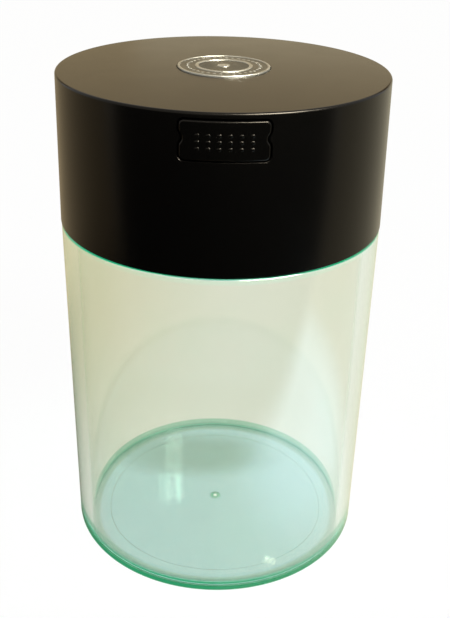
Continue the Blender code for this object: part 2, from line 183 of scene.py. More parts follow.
def prism(bm: BMesh, corners: Sequence[Point], sweep: Point) -> None:
    """Adds a closed solid: a flat outline, swept.

    Args:
        bm: The mesh it is added to.
        corners: The outline's corners.
        sweep: How far and which way the outline is swept.
    """
    face = bm.faces.new([bm.verts.new(corner) for corner in corners])
    swept = bmesh.ops.extrude_face_region(bm, geom=[face], use_keep_orig=True)
    bmesh.ops.translate(bm, verts=made_points(swept), vec=sweep)
    bmesh.ops.recalc_face_normals(bm, faces=bm.faces)


def rod(bm: BMesh, start: Point, end: Point, radius: float, steps: int = 32, edge: float = 0.0) -> None:
    """Adds a round solid between two points.

    Args:
        bm: The mesh it is added to.
        start: The middle of one end.
        end: The middle of the other end.
        radius: The rod's radius.
        steps: How many faces go round.
        edge: How far the ends' edges are rounded.
    """
    along = Vector(end) - Vector(start)
    place = along.to_track_quat("Z", "Y").to_matrix().to_4x4()
    place.translation = (Vector(start) + Vector(end)) / 2
    made = bmesh.ops.create_cone(
        bm, cap_ends=True, segments=steps, radius1=radius, radius2=radius, depth=along.length, matrix=place
    )
    if edge:
        direction = along.normalized()
        rims = {e for point in made["verts"] for e in point.link_edges}
        flat = [e for e in rims if abs((e.verts[0].co - e.verts[1].co).normalized().dot(direction)) < 0.5]
        round_edges(bm, flat, edge, 3)


def block(bm: BMesh, low: Point, high: Point) -> list[BMVert]:
    """Adds a box between two corners.

    Args:
        bm: The mesh it is added to.
        low: Its lowest corner.
        high: Its highest corner.

    Returns:
        The box's points.
    """
    low, high = Vector(low), Vector(high)
    place = Matrix.LocRotScale((low + high) / 2, None, high - low)
    return bmesh.ops.create_cube(bm, size=1, matrix=place)["verts"]


def columns(bm: BMesh, reach: float, count: int) -> None:
    """Cuts a solid into upright strips, so that it can follow the lid's round.

    Args:
        bm: The solid.
        reach: How far it goes to either side.
        count: How many strips there are.
    """
    for column in range(1, count):
        place = reach * (2 * column / count - 1)
        everything = bm.verts[:] + bm.edges[:] + bm.faces[:]
        bmesh.ops.bisect_plane(
            bm, geom=everything, dist=MERGE_DISTANCE, plane_co=(place, 0, 0), plane_no=(1, 0, 0)
        )


def carved(base: BMesh, steps: Sequence[tuple[Carve, BMesh]]) -> BMesh:
    """Adds solids to a solid and cuts solids from it, one after the other.

    Args:
        base: The solid to start from. It is used up.
        steps: What is done, and the helper solid it is done with. The helpers are used up.

    Returns:
        The carved solid.
    """
    target = loose_object("carving", base)
    helpers = []
    for action, helper in steps:
        helpers.append(loose_object("helper", helper))
        modifier = target.modifiers.new("step", "BOOLEAN")
        modifier.operation = action.value
        modifier.solver = "EXACT"
        modifier.object = helpers[-1]
    evaluated = target.evaluated_get(bpy.context.evaluated_depsgraph_get())
    bm = bmesh.new()
    bm.from_mesh(evaluated.to_mesh())
    evaluated.to_mesh_clear()
    for thing in [target, *helpers]:
        bpy.data.meshes.remove(thing.data)
    return bm


def new_object(name: str, data: bpy.types.ID) -> bpy.types.Object:
    """Puts an object into the scene.

    Args:
        name: Its name.
        data: Its mesh, lamp or camera.

    Returns:
        The object, at the origin.
    """
    thing = bpy.data.objects.new(name, data)
    bpy.context.scene.collection.objects.link(thing)
    return thing


def loose_object(name: str, bm: BMesh) -> bpy.types.Object:
    """Puts a finished bmesh into the scene as an object.

    Args:
        name: The object's name.
        bm: Its mesh, in the row frame. It is used up.

    Returns:
        The object, at the origin.
    """
    mesh = bpy.data.meshes.new(name)
    bm.to_mesh(mesh)
    bm.free()
    return new_object(name, mesh)


def piece(
    name: str, bm: BMesh, finishes: Sequence[bpy.types.Material], body: Body, node: str
) -> bpy.types.Object:
    """Makes a visible piece that stands for a CAD node.

    Args:
        name: The piece's name.
        bm: Its mesh, in the row frame. It is used up.
        finishes: Its materials, in the order of the faces' material numbers.
        body: The body it rides on.
        node: The CAD node it replaces.

    Returns:
        The piece.
    """
    thing = loose_object(name, bm)
    thing.data.shade_smooth()
    thing.data.set_sharp_from_angle(angle=SHARP_ANGLE)
    shading = thing.modifiers.new("even_shading", "WEIGHTED_NORMAL")
    shading.mode = "FACE_AREA"
    shading.weight = 100
    shading.keep_sharp = True
    for finish in finishes:
        thing.data.materials.append(finish)
    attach(thing, body.value)
    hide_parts(node)
    LOG.info("%s: %d faces, on %s, for %s", name, len(thing.data.polygons), body.value, node)
    return thing


# ---------------------------------------------------------------------------------------------------------
# Materials
# ---------------------------------------------------------------------------------------------------------


class Wiring:
    """Adds nodes to a node tree, with each input set to a value or linked to a socket."""

    def __init__(self, tree: bpy.types.NodeTree) -> None:
        """Starts on a node tree."""
        self.tree = tree

    def feed(self, made: bpy.types.Node, inputs: dict) -> None:
        """Sets a node's inputs.

        Args:
            made: The node.
            inputs: Its inputs by name or number, each a value or the socket that feeds it.
        """
        for name, value in inputs.items():
            if isinstance(value, Socket):
                self.tree.links.new(value, made.inputs[name])
            else:
                made.inputs[name].default_value = value

    def node(self, kind: str, inputs: dict | None = None, **settings: object) -> bpy.types.Node:
        """Adds one node.

        Args:
            kind: The node's type.
            inputs: Its inputs by name or number, each a value or the socket that feeds it.
            **settings: Its own settings.

        Returns:
            The node.
        """
        made = self.tree.nodes.new(kind)
        for name, value in settings.items():
            setattr(made, name, value)
        self.feed(made, inputs or {})
        return made

    def maths(self, operation: str, first: object, second: object) -> Socket:
        """Works out a number from two values or sockets."""
        return self.node("ShaderNodeMath", {0: first, 1: second}, operation=operation).outputs[0]

    def mixed(self, share: object, first: object, second: object) -> Socket:
        """Mixes two colours, with a share of the second."""
        return self.node("ShaderNodeMix", {0: share, 6: first, 7: second}, data_type="RGBA").outputs[2]

    def layered(self, share: Socket, under: Socket, over: Socket) -> Socket:
        """Lays a share of one shader over another."""
        return self.node("ShaderNodeMixShader", {0: share, 1: under, 2: over}).outputs[0]

    def band(self, value: Socket, band: Band) -> Socket:
        """Rises smoothly from 0 at a band's first value to 1 at its second."""
        limits = {"Value": value, "From Min": band[0], "From Max": band[1]}
        return self.node("ShaderNodeMapRange", limits, interpolation_type="SMOOTHSTEP").outputs[0]

    def place(self) -> Socket:
        """Where a point lies on the object, in the row frame."""
        return self.node("ShaderNodeTexCoord").outputs["Object"]

    def off_axis(self, place: Socket, scale: Point = (1.0, 1.0, 0.0)) -> Socket:
        """How far a place lies from the Z axis, once its directions are scaled."""
        flat = self.node("ShaderNodeVectorMath", {0: place, 1: scale}, operation="MULTIPLY").outputs[0]
        return self.node("ShaderNodeVectorMath", {0: flat}, operation="LENGTH").outputs["Value"]


def rgba(colour: Sequence[float]) -> tuple[float, float, float, float]:
    """A colour with full alpha."""
    return (*colour, 1.0)


def new_group(
    name: str, inputs: dict[str, float], outputs: Sequence[str]
) -> tuple[Wiring, bpy.types.Node]:
    """Starts a shader node group with number sockets.

    Args:
        name: The group's name.
        inputs: Its inputs and their default values.
        outputs: Its outputs.

    Returns:
        The group's wiring, and the node that gives its inputs.
    """
    group = bpy.data.node_groups.new(name, "ShaderNodeTree")
    for label, value in inputs.items():
        socket = group.interface.new_socket(label, in_out="INPUT", socket_type="NodeSocketFloat")
        socket.default_value = value
    for label in outputs:
        group.interface.new_socket(label, in_out="OUTPUT", socket_type="NodeSocketFloat")
    wiring = Wiring(group)
    return wiring, wiring.node("NodeGroupInput")


def grain_group() -> bpy.types.NodeTree:
    """The fine grain of a moulded surface: small rounded pits with a softer unevenness under them.

    Returns:
        The group.
    """
    wiring, given = new_group("moulded_grain", {"Grains per metre": 3000.0, "Softness": 0.4}, ["Height"])
    place, scale = wiring.place(), given.outputs["Grains per metre"]
    soft_scale = wiring.maths("MULTIPLY", scale, SOFT_GRAIN_SCALE)
    fine = wiring.node("ShaderNodeTexNoise", {"Vector": place, "Scale": scale, "Detail": 2.0})
    soft = wiring.node("ShaderNodeTexNoise", {"Vector": place, "Scale": soft_scale, "Detail": 1.0})
    heights = {0: given.outputs["Softness"], 2: fine.outputs[0], 3: soft.outputs[0]}
    height = wiring.node("ShaderNodeMix", heights, data_type="FLOAT")
    wiring.node("NodeGroupOutput", {"Height": height.outputs[0]})
    return wiring.tree


def handling_group() -> bpy.types.NodeTree:
    """Patches that hands and wiping leave: where they lie the surface is a little glossier.

    Returns:
        The group.
    """
    defaults = {"Roughness": 0.35, "Spread": 0.05, "Patches per metre": 45.0}
    wiring, given = new_group("handling", defaults, ["Roughness", "Patches"])
    cloud = {"Vector": wiring.place(), "Scale": given.outputs["Patches per metre"]}
    cloud.update({"Detail": 3.0, "Distortion": 0.6})
    patches = wiring.band(wiring.node("ShaderNodeTexNoise", cloud).outputs[0], PATCH_BAND)
    drop = wiring.maths("MULTIPLY", patches, given.outputs["Spread"])
    roughness = wiring.maths("SUBTRACT", given.outputs["Roughness"], drop)
    wiring.node("NodeGroupOutput", {"Roughness": roughness, "Patches": patches})
    return wiring.tree


def turning_group() -> bpy.types.NodeTree:
    """Fine rings round +Z, as a tool or a brush leaves them on a turned surface.

    Returns:
        The group.
    """
    wiring, given = new_group("turned_rings", {"Rings per metre": 6000.0}, ["Rings"])
    across = wiring.maths("MULTIPLY", wiring.off_axis(wiring.place()), given.outputs["Rings per metre"])
    inputs = {"W": across, "Scale": 1.0, "Detail": 3.0}
    noise = wiring.node("ShaderNodeTexNoise", inputs, noise_dimensions="1D")
    wiring.node("NodeGroupOutput", {"Rings": noise.outputs[0]})
    return wiring.tree


@dataclass
class Effects:
    """The shared node groups, each built once."""

    grain: bpy.types.NodeTree = field(default_factory=grain_group)
    handling: bpy.types.NodeTree = field(default_factory=handling_group)
    turning: bpy.types.NodeTree = field(default_factory=turning_group)


class Grain(NamedTuple):
    """A moulded grain: how fine and how soft it is, how strongly it shows and how deep it goes."""

    per_metre: float
    softness: float
    strength: float
    depth: float


class Coat(Wiring):
    """A material in the making. It has one Principled shader and may use the shared effects."""

    def __init__(self, name: str, colour: Colour, effects: Effects | None = None) -> None:
        """Starts the material.

        Args:
            name: The material's name.
            colour: The colour it is drawn with outside of renders.
            effects: The shared node groups, where it uses them.
        """
        self.material = bpy.data.materials.new(name)
        self.material.use_nodes = True
        self.material.diffuse_color = rgba(colour)
        super().__init__(self.material.node_tree)
        self.effects = effects
        self.shader = self.tree.nodes["Principled BSDF"]
        self.output = self.tree.nodes["Material Output"]
        self.patches: Socket | None = None

    def effect(self, group: bpy.types.NodeTree, inputs: dict) -> bpy.types.Node:
        """Places a shared node group, with this material's values for its inputs."""
        return self.node("ShaderNodeGroup", inputs, node_tree=group)

    def handle(self, roughness: float, spread: float, per_metre: float) -> None:
        """Makes the roughness uneven in patches, as hands and wiping do.

        Args:
            roughness: The roughness between the patches.
            spread: How much lower it is where they lie.
            per_metre: How many patches lie along a metre.
        """
        inputs = {"Roughness": roughness, "Spread": spread, "Patches per metre": per_metre}
        handling = self.effect(self.effects.handling, inputs).outputs
        self.feed(self.shader, {"Roughness": handling["Roughness"]})
        self.patches = handling["Patches"]

    def emboss(self, height: Socket, strength: float, depth: float) -> None:
        """Raises the surface by a height, with a strength and a depth."""
        bump = self.node("ShaderNodeBump", {"Height": height, "Strength": strength, "Distance": depth})
        self.feed(self.shader, {"Normal": bump.outputs[0]})

    def roughen(self, grain: Grain) -> None:
        """Gives the surface a moulded grain."""
        inputs = {"Grains per metre": grain.per_metre, "Softness": grain.softness}
        self.emboss(self.effect(self.effects.grain, inputs).outputs[0], grain.strength, grain.depth)


@dataclass(frozen=True)
class Finish:
    """What every finish has: a name, two colours, and a roughness that handling makes uneven.

    The second colour is that of the wear, rings, lines, bloom or depth which varies the first.
    """

    name: str
    colour: Colour
    second_colour: Colour
    roughness: float
    spread: float
    patches_per_metre: float

    def material(self, effects: Effects) -> bpy.types.Material:
        """Builds the material.

        Args:
            effects: The shared node groups.

        Returns:
            The material.
        """
        coat = Coat(self.name, self.colour, effects)
        coat.handle(self.roughness, self.spread, self.patches_per_metre)
        self.dress(coat)
        return coat.material

    def dress(self, coat: Coat) -> None:
        """Adds what this finish has of its own to the material in the making."""
        raise NotImplementedError

    def paint(self, coat: Coat, share: Socket) -> None:
        """Colours the material, with a share of the second colour."""
        colour = coat.mixed(share, rgba(self.colour), rgba(self.second_colour))
        coat.feed(coat.shader, {"Base Color": colour})


@dataclass(frozen=True)
class Tint:
    """A tint that is laid over others, within bands of radius and height.

    A band gives where the tint starts and where it is full.
    """

    colour: Colour
    radii: tuple[Band, ...] = ()
    heights: tuple[Band, ...] = ()


@dataclass(frozen=True)
class ClearPlastic(Finish):
    """Clear green-tinted plastic, polished.

    Bands of other tints are laid over it by radius and height. The foot's bands stand for the depth seen the
    long way through the foot, and are also painted green light carried along it. The pale band round the
    shoulder is painted edge light. The darker bands at the floor's corner, the bore's foot and the gate's
    dimple are painted shade, and the clear gate nub is a painted light spot. The floor is tinted a stronger
    mint than the wall. Light that stays in it for long ends in a painted deep green glow, an emission though
    the plastic is no lamp.
    """

    name: str = "clear_green_plastic"
    colour: Colour = (0.90, 0.89, 0.81)
    second_colour: Colour = (0.30, 0.86, 0.62)
    roughness: float = 0.03
    spread: float = 0.02
    patches_per_metre: float = 30.0
    wiped_share: float = 0.03
    ior: float = 1.57
    density: float = 9.0
    floor_tint: Colour = (0.46, 0.69, 0.72)
    floor_band: Band = (0.0026, 0.0021)
    # The darker bands at the floor's corner, the gate's dimple and the bore's foot are painted shade; the
    # clear gate nub is a painted light spot.
    floor_corner_shade: Tint = Tint((0.32, 0.52, 0.45), radii=((0.0506, 0.0524),))
    gate_dimple_shade: Tint = Tint((0.16, 0.52, 0.38), radii=((0.0024, 0.0017),))
    gate_nub_light: Tint = Tint(WHITE, radii=((0.0012, 0.0006),))
    bore_foot_shade: Tint = Tint((0.32, 0.52, 0.45), ((0.0564, 0.0550),), ((0.0044, 0.0026),))
    # The pale mint band round the shoulder, just under the lid, is painted edge light.
    shoulder: Tint = Tint((0.80, 1.0, 0.90), heights=((0.1326, 0.1338), (0.1362, 0.1356)))
    # The foot's two bands stand for the depth seen the long way through the foot, and are also painted green
    # light carried along it.
    foot: Tint = Tint((0.22, 0.50, 0.34), ((0.0550, 0.0564),), ((0.0041, 0.0035),))
    foot_underside_depth_and_glow: Tint = Tint((0.003, 1.0, 0.50), ((0.0550, 0.0564),), ((0.0005, 0.0002),))
    # Past these counts of mirrorings or bounces inside, light ends in a painted deep green glow, an emission
    # though the plastic is no lamp.
    painted_glow_colour: Colour = (0.022, 0.47, 0.25)
    painted_glow_mirrors: float = 3.5
    painted_glow_bounces: float = 10.5
    lamp_tint: Colour = (0.86, 0.95, 0.89)

    def tint(self, coat: Coat) -> Socket:
        """Works out the plastic's tint all over the cup, with its painted light and shade.

        Args:
            coat: The material in the making.

        Returns:
            The tint.
        """
        place = coat.place()
        height = coat.node("ShaderNodeSeparateXYZ", {0: place}).outputs[2]
        radius = coat.off_axis(place)

        def laid(under: object, *tints: Tint) -> Socket:
            """Lays tints over a colour, one after the other.

            Args:
                under: The colour or its socket.
                *tints: The tints.

            Returns:
                The socket of what comes of it.
            """
            for tint in tints:
                shares = [coat.band(radius, band) for band in tint.radii]
                shares += [coat.band(height, band) for band in tint.heights]
                share = reduce(lambda first, second: coat.maths("MULTIPLY", first, second), shares)
                under = coat.mixed(share, under, rgba(tint.colour))
            return under

        # The floor's corner and gate dimple take painted shade, and the gate nub takes a painted light spot.
        floor = laid(rgba(self.floor_tint), self.floor_corner_shade, self.gate_dimple_shade, self.gate_nub_light)
        # The bore's foot takes painted shade.
        wall = laid(rgba(self.colour), self.bore_foot_shade)
        inner = coat.mixed(coat.band(height, self.floor_band), wall, floor)
        # Over it all go the shoulder's painted edge light and the foot's bands of depth and painted green
        # light.
        return laid(inner, self.shoulder, self.foot, self.foot_underside_depth_and_glow)

    def dress(self, coat: Coat) -> None:
        """Adds the clearness, the tints with their painted light and shade, and the painted green glow of
        light that is shut in.

        Args:
            coat: The material in the making.
        """
        wiped = coat.maths("MULTIPLY", coat.patches, self.wiped_share)
        colour = coat.mixed(wiped, self.tint(coat), rgba(self.second_colour))
        coat.feed(coat.shader, {"Base Color": colour, "IOR": self.ior, "Transmission Weight": 1.0})
        path = coat.node("ShaderNodeLightPath").outputs
        # A painted glow: an emission given where light has stayed long in the plastic, though it is no lamp.
        painted_emission = coat.node("ShaderNodeEmission", {"Color": rgba(self.painted_glow_colour), "Strength": 1.0})
        lamps = coat.node("ShaderNodeBsdfTransparent", {"Color": rgba(self.lamp_tint)})
        mirrored = coat.maths("GREATER_THAN", path["Glossy Depth"], self.painted_glow_mirrors)
        bounced = coat.maths("GREATER_THAN", path["Ray Depth"], self.painted_glow_bounces)
        painted_glow_share = coat.maths("MAXIMUM", mirrored, bounced)
        deep = coat.layered(painted_glow_share, coat.shader.outputs[0], painted_emission.outputs[0])
        surface = coat.layered(path["Is Shadow Ray"], deep, lamps.outputs[0])
        inside = {"Color": rgba(self.second_colour), "Density": self.density}
        depth = coat.node("ShaderNodeVolumeAbsorption", inside).outputs[0]
        coat.feed(coat.output, {"Surface": surface, "Volume": depth})


@dataclass(frozen=True)
class SatinPlastic(Finish):
    """Moulded plastic with a fine grain and a satin shine tinted warm, a painted reflection of a warm room.
    """

    spread: float = 0.015
    patches_per_metre: float = 70.0
    shine: float = 0.5
    # The shine's warm tint is a painted reflection of a warm room, not the plastic's own.
    painted_warm_shine_tint: Colour = (1.0, 0.90, 0.74)
    grain: Grain = Grain(3200.0, 0.35, 0.5, 0.000012)

    def dress(self, coat: Coat) -> None:
        """Adds the wear, the shine and the grain.

        Args:
            coat: The material in the making.
        """
        self.paint(coat, coat.patches)
        coat.roughen(self.grain)
        # The warm tint on the shine is a painted reflection of a warm room.
        coat.feed(coat.shader, {"Specular IOR Level": self.shine, "Specular Tint": rgba(self.painted_warm_shine_tint)})


@dataclass(frozen=True)
class TurnedMetal(Finish):
    """Metal with fine rings left by turning."""

    spread: float = 0.08
    patches_per_metre: float = 160.0
    rings_per_metre: float = 7000.0
    ring_strength: float = 0.6
    ring_depth: float = 0.000006

    def dress(self, coat: Coat) -> None:
        """Adds the rings to the metal.

        Args:
            coat: The material in the making.
        """
        rings = coat.effect(coat.effects.turning, {"Rings per metre": self.rings_per_metre}).outputs[0]
        self.paint(coat, rings)
        coat.emboss(rings, self.ring_strength, self.ring_depth)
        coat.feed(coat.shader, {"Metallic": 1.0})


@dataclass(frozen=True)
class Silicone(Finish):
    """Soft silicone rubber with a dusty bloom."""

    roughness: float = 0.55
    spread: float = 0.12
    patches_per_metre: float = 240.0
    grain: Grain = Grain(5200.0, 0.5, 0.3, 0.00001)
    milkiness: float = 0.15
    milky_depth: float = 0.001

    def dress(self, coat: Coat) -> None:
        """Adds the bloom, the grain and the milkiness.

        Args:
            coat: The material in the making.
        """
        self.paint(coat, coat.patches)
        coat.roughen(self.grain)
        milky = {"Subsurface Weight": self.milkiness, "Subsurface Scale": self.milky_depth}
        coat.feed(coat.shader, milky)


@dataclass(frozen=True)
class DrawnSteel(Finish):
    """Stainless wire and rod, with lines along the way it was drawn."""

    name: str = "drawn_steel"
    colour: Colour = (0.62, 0.62, 0.61)
    second_colour: Colour = (0.50, 0.50, 0.49)
    roughness: float = 0.24
    spread: float = 0.06
    patches_per_metre: float = 300.0
    stretch: Point = (220.0, 6000.0, 6000.0)
    line_strength: float = 0.4
    line_depth: float = 0.000005

    def dress(self, coat: Coat) -> None:
        """Adds the lines to the steel.

        Args:
            coat: The material in the making.
        """
        along = coat.node("ShaderNodeMapping", {"Vector": coat.place(), "Scale": self.stretch}).outputs[0]
        lines = coat.node("ShaderNodeTexNoise", {"Vector": along, "Scale": 1.0, "Detail": 2.0}).outputs[0]
        self.paint(coat, lines)
        coat.emboss(lines, self.line_strength, self.line_depth)
        coat.feed(coat.shader, {"Metallic": 1.0})


# ---------------------------------------------------------------------------------------------------------
# Sub-assemblies
# ---------------------------------------------------------------------------------------------------------


@dataclass
class Lid:
    """The deep push-on lid: its outer form, its hollow, and the pocket behind the button."""

    foot_height: float = 0.1354
    foot_radius: float = 0.0603
    height: float = 0.0544
    draft: float = 0.0009
    wall: float = 0.0020
    top_thickness: float = 0.0022
    crown: float = 0.0007
    crown_rings: int = 6
    edge_radius: float = 0.0008
    foot_edge_radius: float = 0.0003
    recess_edge: float = 0.00012
    inner_fillet: float = 0.0010
    lead_in: float = 0.0006
    lead_in_edge: float = 0.0002
    pocket_depth: float = 0.0022
    pocket_wall: float = 0.0014
    lip_reach: float = 0.00030
    lip_depth: float = 0.00045
    lip_profile: tuple[tuple[float, float], ...] = ((0.4, 0.64), (1.0, 1.0))
    steps: int = 256
    pivot: Point = (0.0, -0.0564324, 0.1818)
    pin_bore_radius: float = 0.00065
    ear_offset: float = 0.0080
    ear_thickness: float = 0.0016
    ear_radius: float = 0.0013
    ear_rounding: float = 0.98
    ear_mouth: float = 0.0009
    vent_radius: float = 0.0008
    vent_above_pivot: float = 0.0022
    seat_height: float = 0.0003
    seat_width: float = 0.00035
    seat_edge: float = 0.00008
    spring_below_pivot: float = 0.0036
    post_radius: float = 0.0008
    post_length: float = 0.0012
    badge_radius: float = 0.0165
    badge_thickness: float = 0.0010
    badge_proud: float = 0.0005

    def outer_radius(self, height: float) -> float:
        """Radius of the outer wall at a height above the lid's foot."""
        return self.foot_radius - self.draft * height / self.height

    def inner_radius(self, height: float) -> float:
        """Radius of the inner wall at a height above the lid's foot."""
        return self.outer_radius(height) - self.wall

    def crown_height(self, radius: float) -> float:
        """Height of the crowned top above the lid's foot at a radius."""
        share = radius / (self.outer_radius(self.height) - self.edge_radius)
        return self.height + self.crown * (1 - share * share)

    @property
    def badge_top(self) -> float:
        """Height of the badge's top above the cup's foot."""
        return self.foot_height + self.crown_height(self.badge_radius + FIT_GAP) + self.badge_proud

    @property
    def front(self) -> float:
        """Depth of the lid's wall in front of the pivot, in the row frame."""
        return -self.outer_radius(self.pivot[2] - self.foot_height)

    @property
    def pocket_floor(self) -> float:
        """Depth of the pocket's floor in the row frame."""
        return self.pivot[1] + self.pocket_depth

    @property
    def seat_top(self) -> float:
        """Depth of the top of the vent's seat in the row frame."""
        return self.pocket_floor - self.seat_height

    @property
    def vent_height(self) -> float:
        """Height of the vent's middle."""
        return self.pivot[2] + self.vent_above_pivot

    @property
    def spring_height(self) -> float:
        """Height of the spring's middle."""
        return self.pivot[2] - self.spring_below_pivot

    def outside(self) -> BMesh:
        """Builds the lid as a solid block, with the badge's recess sunk in its crown.

        Returns:
            The block.
        """
        recess = self.badge_radius + FIT_GAP
        recess_floor = self.badge_top - self.badge_thickness - FIT_GAP
        top_radius = self.outer_radius(self.height)
        corners = [Corner(0, recess_floor), Corner(recess, recess_floor)]
        for ring in range(self.crown_rings):
            radius = recess + (top_radius - self.edge_radius - recess) * ring / self.crown_rings
            height = self.foot_height + self.crown_height(radius)
            corners.append(Corner(radius, height, self.recess_edge if ring == 0 else 0))
        corners += [
            Corner(top_radius, self.foot_height + self.height, self.edge_radius),
            Corner(self.foot_radius, self.foot_height, self.foot_edge_radius),
            Corner(0, self.foot_height),
        ]
        return turned(corners, self.steps, arc_steps=7)

    def hollow(self) -> BMesh:
        """Builds what is hollowed out of the block, with a lead in at its mouth.

        Returns:
            The cutter.
        """
        low = self.foot_height
        ceiling = low + self.height - self.top_thickness
        mouth = self.inner_radius(self.lead_in)
        corners = [
            Corner(0, low - OVERRUN),
            Corner(mouth + self.lead_in + OVERRUN, low - OVERRUN),
            Corner(mouth, low + self.lead_in, self.lead_in_edge),
            Corner(self.inner_radius(ceiling - low), ceiling, self.inner_fillet),
            Corner(0, ceiling),
        ]
        return turned(corners, self.steps)

    def pocket_block(self, button: "Button") -> BMesh:
        """Builds the block that stays standing in the hollow, to hold the pocket.

        Args:
            button: The button that the pocket is for.

        Returns:
            The block.
        """
        half = button.width / 2 + button.gap + self.pocket_wall
        rear = self.pocket_floor + self.pocket_wall
        bottom = button.low - button.gap - self.pocket_wall
        top = self.foot_height + self.height - self.top_thickness + OVERRUN
        bm = bmesh.new()
        block(bm, (-half, -self.foot_radius - OVERRUN, bottom), (half, rear, top))
        return bm

    def pocket_cut(self, button: "Button") -> BMesh:
        """Builds what is cut out for the button: the pocket, with its mouth rounded off.

        Args:
            button: The button that the pocket is for.

        Returns:
            The cutter.
        """
        floor = self.pocket_floor
        outline = [(x, floor, z) for x, z in button.outline(button.gap)]
        bm = bmesh.new()
        prism(bm, outline, (0, self.front + self.lip_depth - floor, 0))
        button.round_corners(bm, button.gap)
        front = min(bm.faces, key=lambda face: face.calc_center_median().y)
        middle = Vector((0, 0, (button.low + button.high) / 2))
        half = Vector((button.width / 2 + button.gap, 0, (button.high - button.low) / 2 + button.gap))
        reached = 0.0
        for reach, forward in (*self.lip_profile, (1.0, 1.0 + OVERRUN / self.lip_depth)):
            front = self.widened(bm, front, middle, half, reach - reached, forward)
            reached = reach
        columns(bm, button.width / 2, button.columns)
        rest = floor - MERGE_DISTANCE
        for point in bm.verts:
            if point.co.y < rest - self.lip_depth:
                point.co.y += button.bend(point.co.x)
        bmesh.ops.recalc_face_normals(bm, faces=bm.faces)
        return bm

    def widened(
        self, bm: BMesh, front: BMFace, middle: Vector, half: Vector, reach: float, forward: float
    ) -> BMFace:
        """Draws the cutter's front face forwards and widens it, for one step of the mouth's rounding.

        Args:
            bm: The cutter.
            front: Its front face.
            middle: The middle of the pocket, seen from in front.
            half: Half the pocket's width and height.
            reach: How much wider the step is, as a share of the lip's reach.
            forward: How far forward the step ends, as a share of the lip's depth.

        Returns:
            The new front face.
        """
        made = bmesh.ops.extrude_face_region(bm, geom=[front])
        points = made_points(made)
        goal = self.front + self.lip_depth * (1 - forward)
        bmesh.ops.translate(bm, verts=points, vec=(0, goal - points[0].co.y, 0))
        if reach:
            grow = self.lip_reach * reach
            size = (1 + grow / half.x, 1, 1 + grow / half.z)
            bmesh.ops.scale(bm, verts=points, vec=size, space=Matrix.Translation(-middle))
        if front.is_valid:
            bmesh.ops.delete(bm, geom=[front], context="FACES_ONLY")
        return next(item for item in made["geom"] if isinstance(item, BMFace))

    def fittings(self) -> BMesh:
        """Builds what stands on the pocket's floor: two pin clips, the vent's seat and the spring's post.

        Returns:
            The solids.
        """
        bm = bmesh.new()
        _, y, z = self.pivot
        root = self.pocket_floor + self.pocket_wall / 2
        for side in (-1, 1):
            x = side * self.ear_offset
            low = (x - self.ear_thickness / 2, y - self.ear_radius, z - self.ear_radius)
            points = block(bm, low, (x + self.ear_thickness / 2, root, z + self.ear_radius))
            ends = {edge for point in points for edge in point.link_edges}
            nose = [edge for edge in ends if all(abs(p.co.y - low[1]) < PICK_DISTANCE for p in edge.verts)]
            nose = [edge for edge in nose if abs(edge.verts[0].co.x - edge.verts[1].co.x) > PICK_DISTANCE]
            round_edges(bm, nose, self.ear_radius * self.ear_rounding, 8)
        vent, spring = self.vent_height, self.spring_height
        seat_radius = self.vent_radius + self.seat_width
        rod(bm, (0, root, vent), (0, self.seat_top, vent), seat_radius, edge=self.seat_edge)
        rod(bm, (0, root, spring), (0, self.pocket_floor - self.post_length, spring), self.post_radius)
        return bm

    def pin_cuts(self) -> list[tuple[Carve, BMesh]]:
        """Builds what is cut for the pin and the vent: the clips' bore and mouth, and the vent hole.

        Returns:
            The Boolean steps.
        """
        x = self.ear_offset + self.ear_thickness / 2 + FIT_GAP
        _, y, z = self.pivot
        bore, mouth, vent = bmesh.new(), bmesh.new(), bmesh.new()
        rod(bore, (-x, y, z), (x, y, z), self.pin_bore_radius)
        half = self.ear_mouth / 2
        block(mouth, (-x, y - self.ear_radius - FIT_GAP, z - half), (x, y, z + half))
        hole, rear = self.vent_height, self.pocket_floor + self.pocket_wall + OVERRUN
        rod(vent, (0, y, hole), (0, rear, hole), self.vent_radius)
        return [(Carve.CUT, bore), (Carve.CUT, mouth), (Carve.CUT, vent)]

    def build(self, button: "Button", plastic: bpy.types.Material) -> bpy.types.Object:
        """Builds the lid.

        Args:
            button: The button that its pocket is for.
            plastic: Its finish.

        Returns:
            The lid.
        """
        hollow = carved(self.hollow(), [(Carve.CUT, self.pocket_block(button))])
        steps = [(Carve.CUT, hollow), (Carve.CUT, self.pocket_cut(button)), (Carve.ADD, self.fittings())]
        bm = carved(self.outside(), steps + self.pin_cuts())
        return piece("lid", bm, [plastic], Body.LID, "lid_shell")


